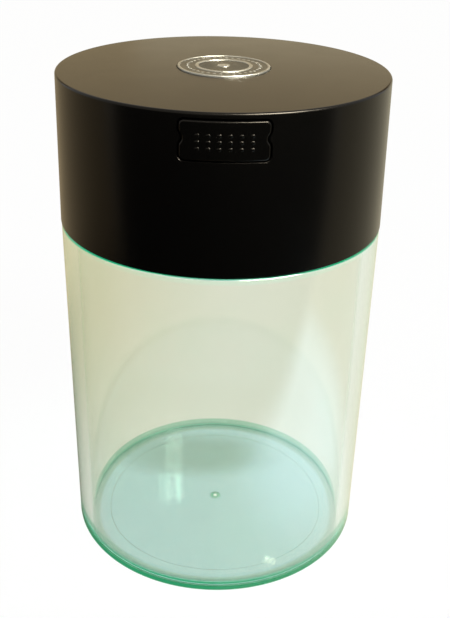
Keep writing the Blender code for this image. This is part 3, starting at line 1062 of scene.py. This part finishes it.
@dataclass
class Cup:
    """The clear cup: its foot, wall, shoulder, neck, bore and floor."""

    shoulder_radius: float = 0.0601
    shoulder_height: float = 0.1351
    shoulder_edge: float = 0.0008
    foot_radius: float = 0.0596
    foot_edge: float = 0.0008
    foot_inner_radius: float = 0.0542
    step_radius: float = 0.0466
    ring_height: float = 0.0002
    underside_height: float = 0.0006
    floor_height: float = 0.0019
    floor_fillet: float = 0.0005
    dimple_radius: float = 0.0024
    dimple_depth: float = 0.0004
    nub_radius: float = 0.0010
    nub_height: float = 0.0003
    neck_foot_radius: float = 0.0576
    rim_radius: float = 0.0566
    rim_height: float = 0.1720
    rim_edge: float = 0.0006
    bore_rim_radius: float = 0.0547
    bore_draft: float = 0.0002
    neck_root: float = 0.0006
    groove_top: float = 0.1698
    groove_height: float = 0.0044
    groove_depth: float = 0.0008
    fine_edge: float = 0.00012
    steps: int = 320

    def neck_radius(self, height: float) -> float:
        """Radius of the neck's outer wall at a height above the foot."""
        share = (height - self.shoulder_height) / (self.rim_height - self.shoulder_height)
        return self.neck_foot_radius + (self.rim_radius - self.neck_foot_radius) * share

    def bore_radius(self, height: float) -> float:
        """Radius of the bore at a height above the foot."""
        return self.bore_rim_radius - self.bore_draft * (self.rim_height - height) / self.rim_height

    def underside(self) -> list[Corner]:
        """Draws the foot: the gate mark, the stepped underside and the ring it stands on.

        Returns:
            The outline's corners.
        """
        dimple_top = self.underside_height + self.dimple_depth
        nub_bottom = dimple_top - self.nub_height
        edge = self.fine_edge
        return [
            Corner(0, nub_bottom),
            Corner(self.nub_radius, nub_bottom, edge),
            Corner(self.nub_radius, dimple_top, edge),
            Corner(self.dimple_radius, dimple_top, edge),
            Corner(self.dimple_radius, self.underside_height, edge),
            Corner(self.step_radius, self.underside_height, edge),
            Corner(self.step_radius, self.ring_height, edge),
            Corner(self.foot_inner_radius, self.ring_height, edge),
            Corner(self.foot_inner_radius, 0, 2 * edge),
        ]

    def outside(self) -> list[Corner]:
        """Draws the outer wall, the shoulder the lid sits over, and the neck with its groove.

        Returns:
            The outline's corners.
        """
        bottom = self.groove_top - self.groove_height
        return [
            Corner(self.foot_radius, 0, self.foot_edge),
            Corner(self.shoulder_radius, self.shoulder_height, self.shoulder_edge),
            Corner(self.neck_foot_radius, self.shoulder_height, self.neck_root),
            Corner(self.neck_radius(bottom), bottom, self.fine_edge),
            Corner(self.neck_radius(bottom) - self.groove_depth, bottom, self.fine_edge),
            Corner(self.neck_radius(self.groove_top) - self.groove_depth, self.groove_top, self.fine_edge),
            Corner(self.neck_radius(self.groove_top), self.groove_top, self.fine_edge),
        ]

    def inside(self) -> list[Corner]:
        """Draws the rim, the bore and the floor inside.

        Returns:
            The outline's corners.
        """
        return [
            Corner(self.rim_radius, self.rim_height, self.rim_edge),
            Corner(self.bore_rim_radius, self.rim_height, self.rim_edge),
            Corner(self.bore_radius(self.floor_height), self.floor_height, self.floor_fillet),
            Corner(0, self.floor_height),
        ]

    def build(self, plastic: bpy.types.Material) -> bpy.types.Object:
        """Builds the cup.

        Args:
            plastic: Its finish.

        Returns:
            The cup.
        """
        bm = turned(self.underside() + self.outside() + self.inside(), self.steps, arc_steps=6)
        return piece("cup", bm, [plastic], Body.CANISTER, "canister_body")


@dataclass
class Seal:
    """The lip seal in the neck's groove. Its lip leans out and down to the lid's inner wall."""

    gap: float = 0.00025
    thickness: float = 0.0009
    lip_reach: float = 0.0018
    lip_thickness: float = 0.0003
    edge: float = 0.0001
    steps: int = 192

    def build(self, cup: Cup, lid: Lid, silicone: bpy.types.Material) -> bpy.types.Object:
        """Builds the seal.

        Args:
            cup: The cup whose groove holds it.
            lid: The lid that its lip reaches for.
            silicone: Its finish.

        Returns:
            The seal.
        """
        top = cup.groove_top - self.gap
        bottom = cup.groove_top - cup.groove_height + self.gap
        inner = cup.neck_radius(cup.groove_top - cup.groove_height) - cup.groove_depth + self.gap
        outer = inner + self.thickness
        tip = bottom - self.lip_reach
        tip_radius = lid.inner_radius(tip - lid.foot_height) - FIT_GAP
        thin = self.lip_thickness
        corners = [
            Corner(inner, top, self.edge),
            Corner(outer, top, self.edge),
            Corner(outer + thin, top - thin),
            Corner(tip_radius, tip + thin, self.edge),
            Corner(tip_radius, tip),
            Corner(tip_radius - thin, tip),
            Corner(outer, bottom),
            Corner(inner, bottom, self.edge),
        ]
        bm = turned(corners, self.steps, ring=True, arc_steps=3)
        return piece("seal", bm, [silicone], Body.CANISTER, "rim_seal")


@dataclass
class Badge:
    """The round plate in the lid's crown: a raised silver rim, a dark field and a silver sunburst."""

    edge: float = 0.0003
    fine_edge: float = 0.00006
    field_depth: float = 0.0002
    field_radius: float = 0.0156
    ring_outer: float = 0.0102
    ring_inner: float = 0.0090
    boss_radius: float = 0.0022
    ray_depth: float = 0.00012
    rays: int = 36
    ray_steps: int = 6
    dented_steps: tuple[int, ...] = (2, 3, 4)
    ray_reach: float = 0.0001
    bead_radius: float = 0.00065
    bead_circle: float = 0.0129
    beads: int = 36
    bead_flatness: float = 0.28

    def build(self, lid: Lid, silver: bpy.types.Material, dark: bpy.types.Material) -> bpy.types.Object:
        """Builds the badge.

        Args:
            lid: The lid it sits in.
            silver: The finish of the raised parts.
            dark: The finish of the sunk fields.

        Returns:
            The badge.
        """
        top = lid.badge_top
        field_top = top - self.field_depth
        fine = self.fine_edge
        corners = [
            Corner(0, top - lid.badge_thickness),
            Corner(lid.badge_radius, top - lid.badge_thickness),
            Corner(lid.badge_radius, top, self.edge),
            Corner(self.field_radius, top, fine),
            Corner(self.field_radius - fine, field_top),
            Corner(self.ring_outer + fine, field_top),
            Corner(self.ring_outer, top, fine),
            Corner(self.ring_inner, top, fine),
            Corner(self.ring_inner - fine, field_top),
            Corner(self.boss_radius + fine, field_top),
            Corner(self.boss_radius, top, fine),
            Corner(0, top),
        ]
        bm = turned(corners, self.rays * self.ray_steps, arc_steps=3)
        self.dent_rays(bm, field_top)
        for face in bm.faces:
            middle = face.calc_center_median()
            sunk = middle.z < field_top + PICK_DISTANCE and face.normal.z > 0.5
            face.material_index = 1 if sunk else 0
        bm = carved(bm, [(Carve.ADD, self.bead_ring(field_top))])
        return piece("badge", bm, [silver, dark], Body.LID, "lid_badge")

    def dent_rays(self, bm: BMesh, field_top: float) -> None:
        """Presses rays into the inner field.

        Args:
            bm: The plate.
            field_top: The height of its sunk fields.
        """
        outer = self.ring_inner - self.fine_edge
        for point in bm.verts:
            on_field = abs(point.co.z - field_top) < PICK_DISTANCE
            at_end = abs(point.co.xy.length - outer) < self.ray_reach
            turn = math.atan2(point.co.y, point.co.x) / math.tau * self.rays
            step = round(turn * self.ray_steps) % self.ray_steps
            if on_field and at_end and step in self.dented_steps:
                point.co.z -= self.ray_depth

    def bead_ring(self, field_top: float) -> BMesh:
        """Builds a ring of small round beads on the outer field.

        Args:
            field_top: The height of the sunk fields.

        Returns:
            The beads.
        """
        bm = bmesh.new()
        flat = Matrix.Diagonal((1, 1, self.bead_flatness, 1))
        for bead in range(self.beads):
            turn = Matrix.Rotation(math.tau * (bead + 0.5) / self.beads, 4, "Z")
            place = turn @ Matrix.Translation((self.bead_circle, 0, field_top)) @ flat
            bmesh.ops.create_uvsphere(bm, u_segments=10, v_segments=6, radius=self.bead_radius, matrix=place)
        return bm


@dataclass
class Button:
    """The rocking vent button, with its pin and the soft plug that closes the vent."""

    lid: Lid
    width: float = 0.0280
    low: float = 0.1750
    high: float = 0.1874
    corner_radius: float = 0.0015
    edge: float = 0.0005
    face_radius: float = 0.0601
    plate: float = 0.0016
    wall: float = 0.0010
    gap: float = 0.00045
    notch_depth: float = 0.0010
    notch_height: float = 0.0038
    notch_flat: float = 0.0016
    notch_rounding: float = 0.0007
    skirt_rear: float = 0.00095
    columns: int = 28
    pin_radius: float = 0.0006
    pin_end_inset: float = 0.0002
    pin_edge: float = 0.0001
    pin_steps: int = 40
    plug_radius: float = 0.0014
    plug_thickness: float = 0.0010
    plug_edge: float = 0.0002
    plug_steps: int = 40
    plug_seat_gap: float = 0.00015
    plug_boss_gap: float = 0.0001
    boss_radius: float = 0.0013
    stem_radius: float = 0.0006
    stem_length: float = 0.0014
    stem_edge: float = 0.00015
    stem_root_edge: float = 0.0001
    stem_gap: float = 0.0001
    pip_columns: int = 6
    pip_rows: int = 3
    pip_spacing: tuple[float, float] = (0.0034, 0.0021)
    pip_size: Point = (0.00080, 0.00020, 0.00055)
    pip_sink: float = 0.00006
    pips_below_middle: float = 0.0004

    @property
    def front(self) -> float:
        """Depth of the middle of the face in the row frame."""
        return -self.face_radius

    @property
    def plate_rear(self) -> float:
        """Depth of the back of the face's plate in the row frame."""
        return self.front + self.plate

    @property
    def plug_front(self) -> float:
        """Depth of the plug's front in the row frame."""
        return self.lid.seat_top - self.plug_seat_gap - self.plug_thickness

    @property
    def boss_rear(self) -> float:
        """Depth of the plug boss's end in the row frame."""
        return self.plug_front - self.plug_boss_gap

    @property
    def vent(self) -> float:
        """Height of the vent's middle."""
        return self.lid.vent_height

    def bend(self, x: float) -> float:
        """How far back the lid's round lies at a distance from the middle."""
        return self.face_radius - math.sqrt(self.face_radius**2 - x * x)

    def waist_shift(self, grown: float) -> float:
        """How far the waists' corners move along the ends when the outline grows."""
        slope = self.notch_depth / (self.notch_height / 2 - self.notch_flat / 2)
        return grown * (math.sqrt(1 + slope * slope) - 1) / slope

    def outline(self, grown: float = 0.0) -> list[tuple[float, float]]:
        """Draws the button as seen from in front, anticlockwise.

        Args:
            grown: How far the outline is moved outwards.

        Returns:
            The corners, as (x, z).
        """
        pivot = self.lid.pivot[2]
        half = self.width / 2 + grown
        low, high = self.low - grown, self.high + grown
        shift = self.waist_shift(grown)
        tall, flat = self.notch_height / 2 - shift, self.notch_flat / 2 - shift
        waist = half - self.notch_depth
        right = [(half, low), (half, pivot - tall), (waist, pivot - flat)]
        right += [(waist, pivot + flat), (half, pivot + tall), (half, high)]
        return right + [(-x, z) for x, z in reversed(right)]

    def round_corners(self, bm: BMesh, grown: float = 0.0) -> None:
        """Rounds the corners and the waists of a solid that was swept from the outline.

        Args:
            bm: The solid.
            grown: How far its outline was moved outwards.
        """
        swept = [e for e in bm.edges if abs((e.verts[0].co - e.verts[1].co).normalized().y) > ALIGNED]
        ends, shoulders, waists = [], [], []
        for edge in swept:
            x, _, z = edge.verts[0].co
            at_end = min(abs(z - self.low + grown), abs(z - self.high - grown)) < PICK_DISTANCE
            at_waist = abs(x) < self.width / 2 + grown - PICK_DISTANCE
            (ends if at_end else waists if at_waist else shoulders).append(edge)
        shift = self.waist_shift(grown)
        round_edges(bm, ends, self.corner_radius + grown, 6)
        round_edges(bm, shoulders, self.notch_rounding + shift, 4)
        round_edges(bm, waists, self.notch_rounding - shift, 4)

    def shell(self) -> BMesh:
        """Builds the open-backed shell: a face bent to the lid's round, with a skirt behind it.

        Returns:
            The shell.
        """
        bm = bmesh.new()
        rear_depth = self.lid.pivot[1] + self.skirt_rear
        prism(bm, [(x, self.front, z) for x, z in self.outline()], (0, rear_depth - self.front, 0))
        self.round_corners(bm)
        rims = [e for e in bm.edges if all(p.co.y < self.front + PICK_DISTANCE for p in e.verts)]
        round_edges(bm, rims, self.edge, 4)
        rear = max(bm.faces, key=lambda face: face.calc_center_median().y)
        bmesh.ops.inset_region(bm, faces=[rear], thickness=self.wall, use_even_offset=True)
        hollow = bmesh.ops.extrude_face_region(bm, geom=[rear])
        bmesh.ops.translate(bm, verts=made_points(hollow), vec=(0, self.plate_rear - rear_depth, 0))
        bmesh.ops.delete(bm, geom=[rear], context="FACES_ONLY")
        columns(bm, self.width / 2, self.columns)
        for point in bm.verts:
            if point.co.y < rear_depth - PICK_DISTANCE:
                point.co.y += self.bend(point.co.x)
        bmesh.ops.recalc_face_normals(bm, faces=bm.faces)
        return bm

    def pips(self) -> BMesh:
        """Builds rows of low oval pips on the face, for grip.

        Returns:
            The pips.
        """
        bm = bmesh.new()
        across, up = self.pip_spacing
        middle = (self.low + self.high) / 2 - self.pips_below_middle
        size = Matrix.Diagonal((*self.pip_size, 1))
        for row in range(self.pip_rows):
            for column in range(self.pip_columns):
                x = across * (column - (self.pip_columns - 1) / 2)
                z = middle + up * (row - (self.pip_rows - 1) / 2)
                lean = Matrix.Rotation(math.asin(x / self.face_radius), 4, "Z")
                place = Matrix.Translation((x, self.front + self.bend(x) + self.pip_sink, z)) @ lean @ size
                bmesh.ops.create_uvsphere(bm, u_segments=16, v_segments=10, radius=1, matrix=place)
        return bm

    def bosses(self) -> BMesh:
        """Builds what stands behind the face: the boss that carries the plug, and the spring's pip.

        Returns:
            The solids.
        """
        bm = bmesh.new()
        root = self.plate_rear - self.plate / 2
        rod(bm, (0, root, self.vent), (0, self.boss_rear, self.vent), self.boss_radius)
        spring = self.lid.spring_height
        rear = self.plate_rear + self.lid.post_length / 2
        rod(bm, (0, root, spring), (0, rear, spring), self.lid.post_radius)
        return bm

    def build(self, plastic: bpy.types.Material) -> bpy.types.Object:
        """Builds the button.

        Args:
            plastic: Its finish.

        Returns:
            The button.
        """
        hole, bore = bmesh.new(), bmesh.new()
        front = self.boss_rear - self.stem_length - self.stem_gap
        rear = self.boss_rear + OVERRUN
        rod(hole, (0, front, self.vent), (0, rear, self.vent), self.stem_radius + self.stem_gap)
        reach = self.width / 2 + OVERRUN
        _, y, z = self.lid.pivot
        rod(bore, (-reach, y, z), (reach, y, z), self.lid.pin_bore_radius)
        steps = [(Carve.ADD, self.pips()), (Carve.ADD, self.bosses()), (Carve.CUT, hole), (Carve.CUT, bore)]
        bm = carved(self.shell(), steps)
        return piece("button", bm, [plastic], Body.BUTTON, "rocker_button")

    def build_pin(self, steel: bpy.types.Material) -> bpy.types.Object:
        """Builds the steel pin that the button rocks on.

        Args:
            steel: Its finish.

        Returns:
            The pin.
        """
        bm = bmesh.new()
        reach = self.width / 2 - self.notch_depth - self.pin_end_inset
        _, y, z = self.lid.pivot
        rod(bm, (-reach, y, z), (reach, y, z), self.pin_radius, self.pin_steps, self.pin_edge)
        return piece("pin", bm, [steel], Body.BUTTON, "pivot_pin")

    def build_plug(self, silicone: bpy.types.Material) -> bpy.types.Object:
        """Builds the soft plug that closes the vent.

        Args:
            silicone: Its finish.

        Returns:
            The plug.
        """
        front = self.plug_front
        corners = [
            Corner(0, front - self.stem_length),
            Corner(self.stem_radius, front - self.stem_length, self.stem_edge),
            Corner(self.stem_radius, front, self.stem_root_edge),
            Corner(self.plug_radius, front, self.plug_edge),
            Corner(self.plug_radius, front + self.plug_thickness, self.plug_edge),
            Corner(0, front + self.plug_thickness),
        ]
        bm = turned(corners, self.plug_steps, arc_steps=3)
        bmesh.ops.rotate(bm, verts=bm.verts, cent=(0, 0, 0), matrix=Matrix.Rotation(-math.pi / 2, 3, "X"))
        bmesh.ops.translate(bm, verts=bm.verts, vec=(0, 0, self.vent))
        return piece("plug", bm, [silicone], Body.BUTTON, "valve_plug")


@dataclass
class ReturnSpring:
    """The coil between the pocket's floor and the back of the button's face."""

    radius: float = 0.0014
    wire: float = 0.00035
    turns: int = 4
    turn_steps: int = 32
    wire_steps: int = 12
    end_gap: float = 0.00015
    anchor: Point = (0.0, -0.0542, 0.1782)
    squeezed: float = 0.88

    def build(self, lid: Lid, button: Button, steel: bpy.types.Material) -> bpy.types.Object:
        """Builds the coil.

        Args:
            lid: The lid whose pocket holds it.
            button: The button that it pushes out.
            steel: Its finish.

        Returns:
            The coil.
        """
        start = button.plate_rear + self.end_gap + self.wire / 2
        end = lid.pocket_floor - self.end_gap - self.wire / 2
        height = lid.spring_height
        bm = bmesh.new()
        upright = Matrix.Translation((self.radius, start, height))
        made = bmesh.ops.create_circle(bm, segments=self.wire_steps, radius=self.wire / 2, matrix=upright)
        ring = made["verts"] + list({edge for point in made["verts"] for edge in point.link_edges})
        steps = self.turns * self.turn_steps
        bmesh.ops.spin(
            bm,
            geom=ring,
            cent=(0, 0, height),
            axis=(0, 1, 0),
            dvec=(0, (end - start) / steps, 0),
            angle=math.tau * self.turns,
            steps=steps,
        )
        bmesh.ops.holes_fill(bm, edges=[edge for edge in bm.edges if edge.is_boundary], sides=0)
        bmesh.ops.recalc_face_normals(bm, faces=bm.faces)
        thing = piece("spring", bm, [steel], Body.LID, "return_spring")
        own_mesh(thing)
        return thing


# ---------------------------------------------------------------------------------------------------------
# Studio
# ---------------------------------------------------------------------------------------------------------


@dataclass(frozen=True)
class Softbox:
    """A rectangular lamp that faces the canister."""

    name: str
    place: Point
    size: tuple[float, float]
    power: float
    colour: Colour = WHITE
    aim: Point = (0.0, 0.0, 0.1)

    def build(self) -> None:
        """Hangs the lamp."""
        lamp = bpy.data.lights.new(self.name, "AREA")
        lamp.shape = "RECTANGLE"
        lamp.size, lamp.size_y = self.size
        lamp.energy = self.power
        lamp.color = self.colour
        thing = new_object(self.name, lamp)
        thing.location = self.place
        thing.rotation_euler = (Vector(self.aim) - Vector(self.place)).to_track_quat("-Z", "Y").to_euler()
        thing.visible_camera = False


class Shown(Enum):
    """What shows a studio card."""

    MIRRORED = "in reflections"
    THROUGH = "through clear walls"


@dataclass(frozen=True)
class Card:
    """A studio card that lights nothing and casts no shadow.

    It is seen only in reflections, or only through clear walls. Past its core it fades out to its edges,
    and a core of one leaves it sharp.
    """

    name: str
    low: Point
    high: Point
    colour: Colour
    core: float = 1.0
    shown: Shown = Shown.MIRRORED

    def build(self) -> None:
        """Puts up the card."""
        bm = bmesh.new()
        block(bm, self.low, self.high)
        card = loose_object(self.name, bm)
        material = bpy.data.materials.new(self.name)
        material.use_nodes = True
        wiring = Wiring(material.node_tree)
        wiring.tree.nodes.clear()
        strength = max(self.colour)
        colour = [channel / strength for channel in self.colour]
        surface = wiring.node("ShaderNodeEmission", {"Color": rgba(colour), "Strength": strength}).outputs[0]
        if self.core < 1:
            clear = wiring.node("ShaderNodeBsdfTransparent").outputs[0]
            surface = wiring.layered(self.fade(wiring), clear, surface)
        wiring.node("ShaderNodeOutputMaterial", {"Surface": surface})
        card.data.materials.append(material)
        card.visible_camera = False
        card.visible_diffuse = False
        card.visible_glossy = self.shown is Shown.MIRRORED
        card.visible_transmission = self.shown is Shown.THROUGH
        card.visible_shadow = False

    def fade(self, wiring: Wiring) -> Socket:
        """Fades the card out past its core.

        Args:
            wiring: The wiring of its material.

        Returns:
            The card's share, one over its core and zero at its edges.
        """
        middle = (Vector(self.low) + Vector(self.high)) / 2
        across, along, _ = [2 / (high - low) for low, high in zip(self.low, self.high)]
        terms = {0: wiring.place(), 1: middle}
        moved = wiring.node("ShaderNodeVectorMath", terms, operation="SUBTRACT").outputs[0]
        return wiring.band(wiring.off_axis(moved, (across, along, 0)), (1.0, self.core))


@dataclass
class Studio:
    """A plain pale floor under soft light, against white.

    Cards that show only in reflections stand for the room that the lid and the badge mirror, and two flags,
    painted shade and shadow on the floor behind and under the cup, show only through the cup's wall. The
    cards over the floor lie between it and the foot, each a hundredth of a millimetre thick.
    """

    floor_size: float = 8.0
    floor_drop: float = 0.0001
    floor_colour: Colour = (0.95, 0.95, 0.94)
    floor_roughness: float = 0.9
    floor_shine: float = 0.1
    floor_white_share: float = 0.965
    floor_clear_share: float = 0.38
    world_light: float = 0.42
    world_colour: Colour = (1.0, 0.96, 0.82)
    cards: tuple[Card, ...] = (
        Card("warm_card", (-2.0, -0.155, -0.00009), (0.0, 2.0, -0.00008), (0.64, 0.50, 0.30)),
        Card("pale_card", (0.0, -0.155, -0.00009), (2.0, 2.0, -0.00008), (0.85, 0.77, 0.56)),
        Card("bright_card", (0.01, -0.29, -0.00006), (0.27, 0.03, -0.00005), (2.3, 3.0, 3.5), 0.2),
        Card("black_card", (-2.2, -2.08, -0.00004), (2.2, -0.12, -0.00003), (0.01, 0.01, 0.01), 0.93),
        Card("shade_card", (-0.42, -0.30, -0.00002), (0.05, 0.22, -0.00001), (0.05, 0.045, 0.04), 0.2),
        # Painted shade: a darker, warm patch of floor at the back-left, seen only through the cup.
        Card(
            "left_painted_shade", (-0.50, -0.15, -0.00009), (0.03, 0.55, -0.00008),
            (0.83, 0.755, 0.57), 0.1, Shown.THROUGH,
        ),
        # Painted shadow: a darker patch of floor under the cup's back, seen only through the cup.
        Card(
            "back_painted_shadow", (-0.06, 0.010, -0.00006), (0.04, 0.054, -0.00005),
            (0.60, 0.68, 0.58), 0.1, Shown.THROUGH,
        ),
        Card("left_back_card", (-2.0, 2.0, 0.0), (-0.2, 2.01, 0.60), (0.78, 0.62, 0.36)),
        Card("right_back_card", (-0.2, 2.0, 0.0), (2.0, 2.01, 0.60), (1.0, 0.86, 0.58)),
        Card("high_back_card", (-2.0, 2.0, 0.60), (2.0, 2.01, 1.4), (0.28, 0.18, 0.06)),
        Card("edge_card", (0.06, -0.80, 0.72), (0.80, -0.20, 0.73), (92.0, 88.0, 80.0), 0.3),
    )
    softboxes: tuple[Softbox, ...] = (
        Softbox("back_softbox", (-0.1, 1.55, 0.95), (1.5, 0.9), 2.65, (1.0, 0.82, 0.54)),
        Softbox("key_softbox", (0.95, -1.00, 1.20), (0.5, 0.3), 24.0, (0.90, 0.98, 1.0)),
        Softbox("window_left", (-0.170, 1.56, 1.23), (0.050, 0.07), 0.013, (0.62, 0.98, 0.92)),
        Softbox("window_right", (-0.114, 1.56, 1.23), (0.016, 0.07), 0.012, (0.62, 0.98, 0.92)),
        Softbox("window_far", (0.22, 1.40, 1.325), (0.045, 0.014), 0.012, (1.0, 0.98, 0.86)),
    )

    def shown(self, wiring: Wiring, in_view: float, through_clear: float) -> Socket:
        """How much of a surface's white shows.

        Args:
            wiring: The wiring of its material.
            in_view: The share where the camera or a shine shows it.
            through_clear: The share where it shows through a clear wall.

        Returns:
            The share's socket, zero where the surface lights other things.
        """
        path = wiring.node("ShaderNodeLightPath").outputs
        seen = wiring.maths("MAXIMUM", path["Is Camera Ray"], path["Is Glossy Ray"])
        through = wiring.maths("MULTIPLY", path["Is Transmission Ray"], through_clear)
        return wiring.maths("MAXIMUM", wiring.maths("MULTIPLY", seen, in_view), through)

    def build_floor(self) -> None:
        """Lays the floor, which renders white and keeps the canister's shadow."""
        bm = bmesh.new()
        place = Matrix.Translation((0, 0, -self.floor_drop))
        bmesh.ops.create_grid(bm, x_segments=1, y_segments=1, size=self.floor_size / 2, matrix=place)
        floor = loose_object("studio_floor", bm)
        coat = Coat("floor_paint", self.floor_colour)
        paint = {"Base Color": rgba(self.floor_colour), "Roughness": self.floor_roughness}
        coat.feed(coat.shader, paint | {"Specular IOR Level": self.floor_shine})
        white = coat.node("ShaderNodeEmission", {"Color": rgba(WHITE), "Strength": 1.0}).outputs[0]
        share = self.shown(coat, self.floor_white_share, self.floor_clear_share)
        coat.feed(coat.output, {"Surface": coat.layered(share, coat.shader.outputs[0], white)})
        floor.data.materials.append(coat.material)

    def build_world(self) -> None:
        """Sets a white world that gives a plain level of light."""
        world = bpy.data.worlds.new("studio_world")
        world.use_nodes = True
        bpy.context.scene.world = world
        wiring = Wiring(world.node_tree)
        light = [channel * self.world_light for channel in self.world_colour]
        colour = wiring.mixed(self.shown(wiring, 1.0, 1.0), rgba(light), rgba(WHITE))
        wiring.feed(wiring.tree.nodes["Background"], {"Color": colour})

    def build(self) -> None:
        """Builds the floor, the world, the cards and the lamps."""
        self.build_floor()
        self.build_world()
        for thing in [*self.cards, *self.softboxes]:
            thing.build()
        bpy.context.scene.view_settings.view_transform = "Standard"


@dataclass
class PhotoCamera:
    """The camera at the photograph's viewing angle."""

    image: tuple[int, int] = (450, 618)
    focal_pixels: float = 918.57
    sensor: float = 36.0
    place: Point = (-0.00418, -0.32921, 0.26315)
    turn: float = -0.0201
    pitch: float = 0.4754
    roll: float = 0.0237
    nearest: float = 0.01

    def build(self) -> None:
        """Sets up the camera."""
        level = Vector((-math.sin(self.turn), math.cos(self.turn), 0))
        right = Vector((level.y, -level.x, 0))
        forward = level * math.cos(self.pitch) - Vector((0, 0, math.sin(self.pitch)))
        up = right.cross(forward)
        across = right * math.cos(self.roll) + up * math.sin(self.roll)
        upward = up * math.cos(self.roll) - right * math.sin(self.roll)
        camera = bpy.data.cameras.new("photo_camera")
        camera.sensor_width = self.sensor
        camera.lens = self.focal_pixels / max(self.image) * self.sensor
        camera.clip_start = self.nearest
        thing = new_object("photo_camera", camera)
        place = Matrix((across, upward, -forward)).transposed().to_4x4()
        place.translation = self.place
        thing.matrix_world = place
        bpy.context.scene.camera = thing


def main() -> None:
    """Builds the canister and its studio."""
    logging.basicConfig(level=logging.INFO, format="%(name)s: %(message)s")
    effects = Effects()
    black = SatinPlastic(
        "satin_black_plastic", (0.0004, 0.0004, 0.0004), (0.0007, 0.0006, 0.0006), 0.25, shine=0.155
    )
    silver = TurnedMetal("silver_plate", (0.31, 0.30, 0.255), (0.24, 0.23, 0.19), 0.44)
    dark = TurnedMetal("dark_silver_field", (0.075, 0.07, 0.05), (0.055, 0.05, 0.036), 0.45)
    white = Silicone("white_silicone", (0.80, 0.80, 0.76), (0.86, 0.86, 0.84))
    grey = Silicone("grey_silicone", (0.30, 0.31, 0.30), (0.36, 0.37, 0.36), 0.6)
    steel = DrawnSteel().material(effects)
    plastic = black.material(effects)

    PhotoCamera().build()
    Studio().build()
    cup, lid = Cup(), Lid()
    button = Button(lid)
    cup.build(ClearPlastic().material(effects))
    Seal().build(cup, lid, white.material(effects))
    lid.build(button, plastic)
    Badge().build(lid, silver.material(effects), dark.material(effects))
    button.build(plastic)
    button.build_pin(steel)
    button.build_plug(grey.material(effects))
    ReturnSpring().build(lid, button, steel)


if __name__ == "__main__":
    main()
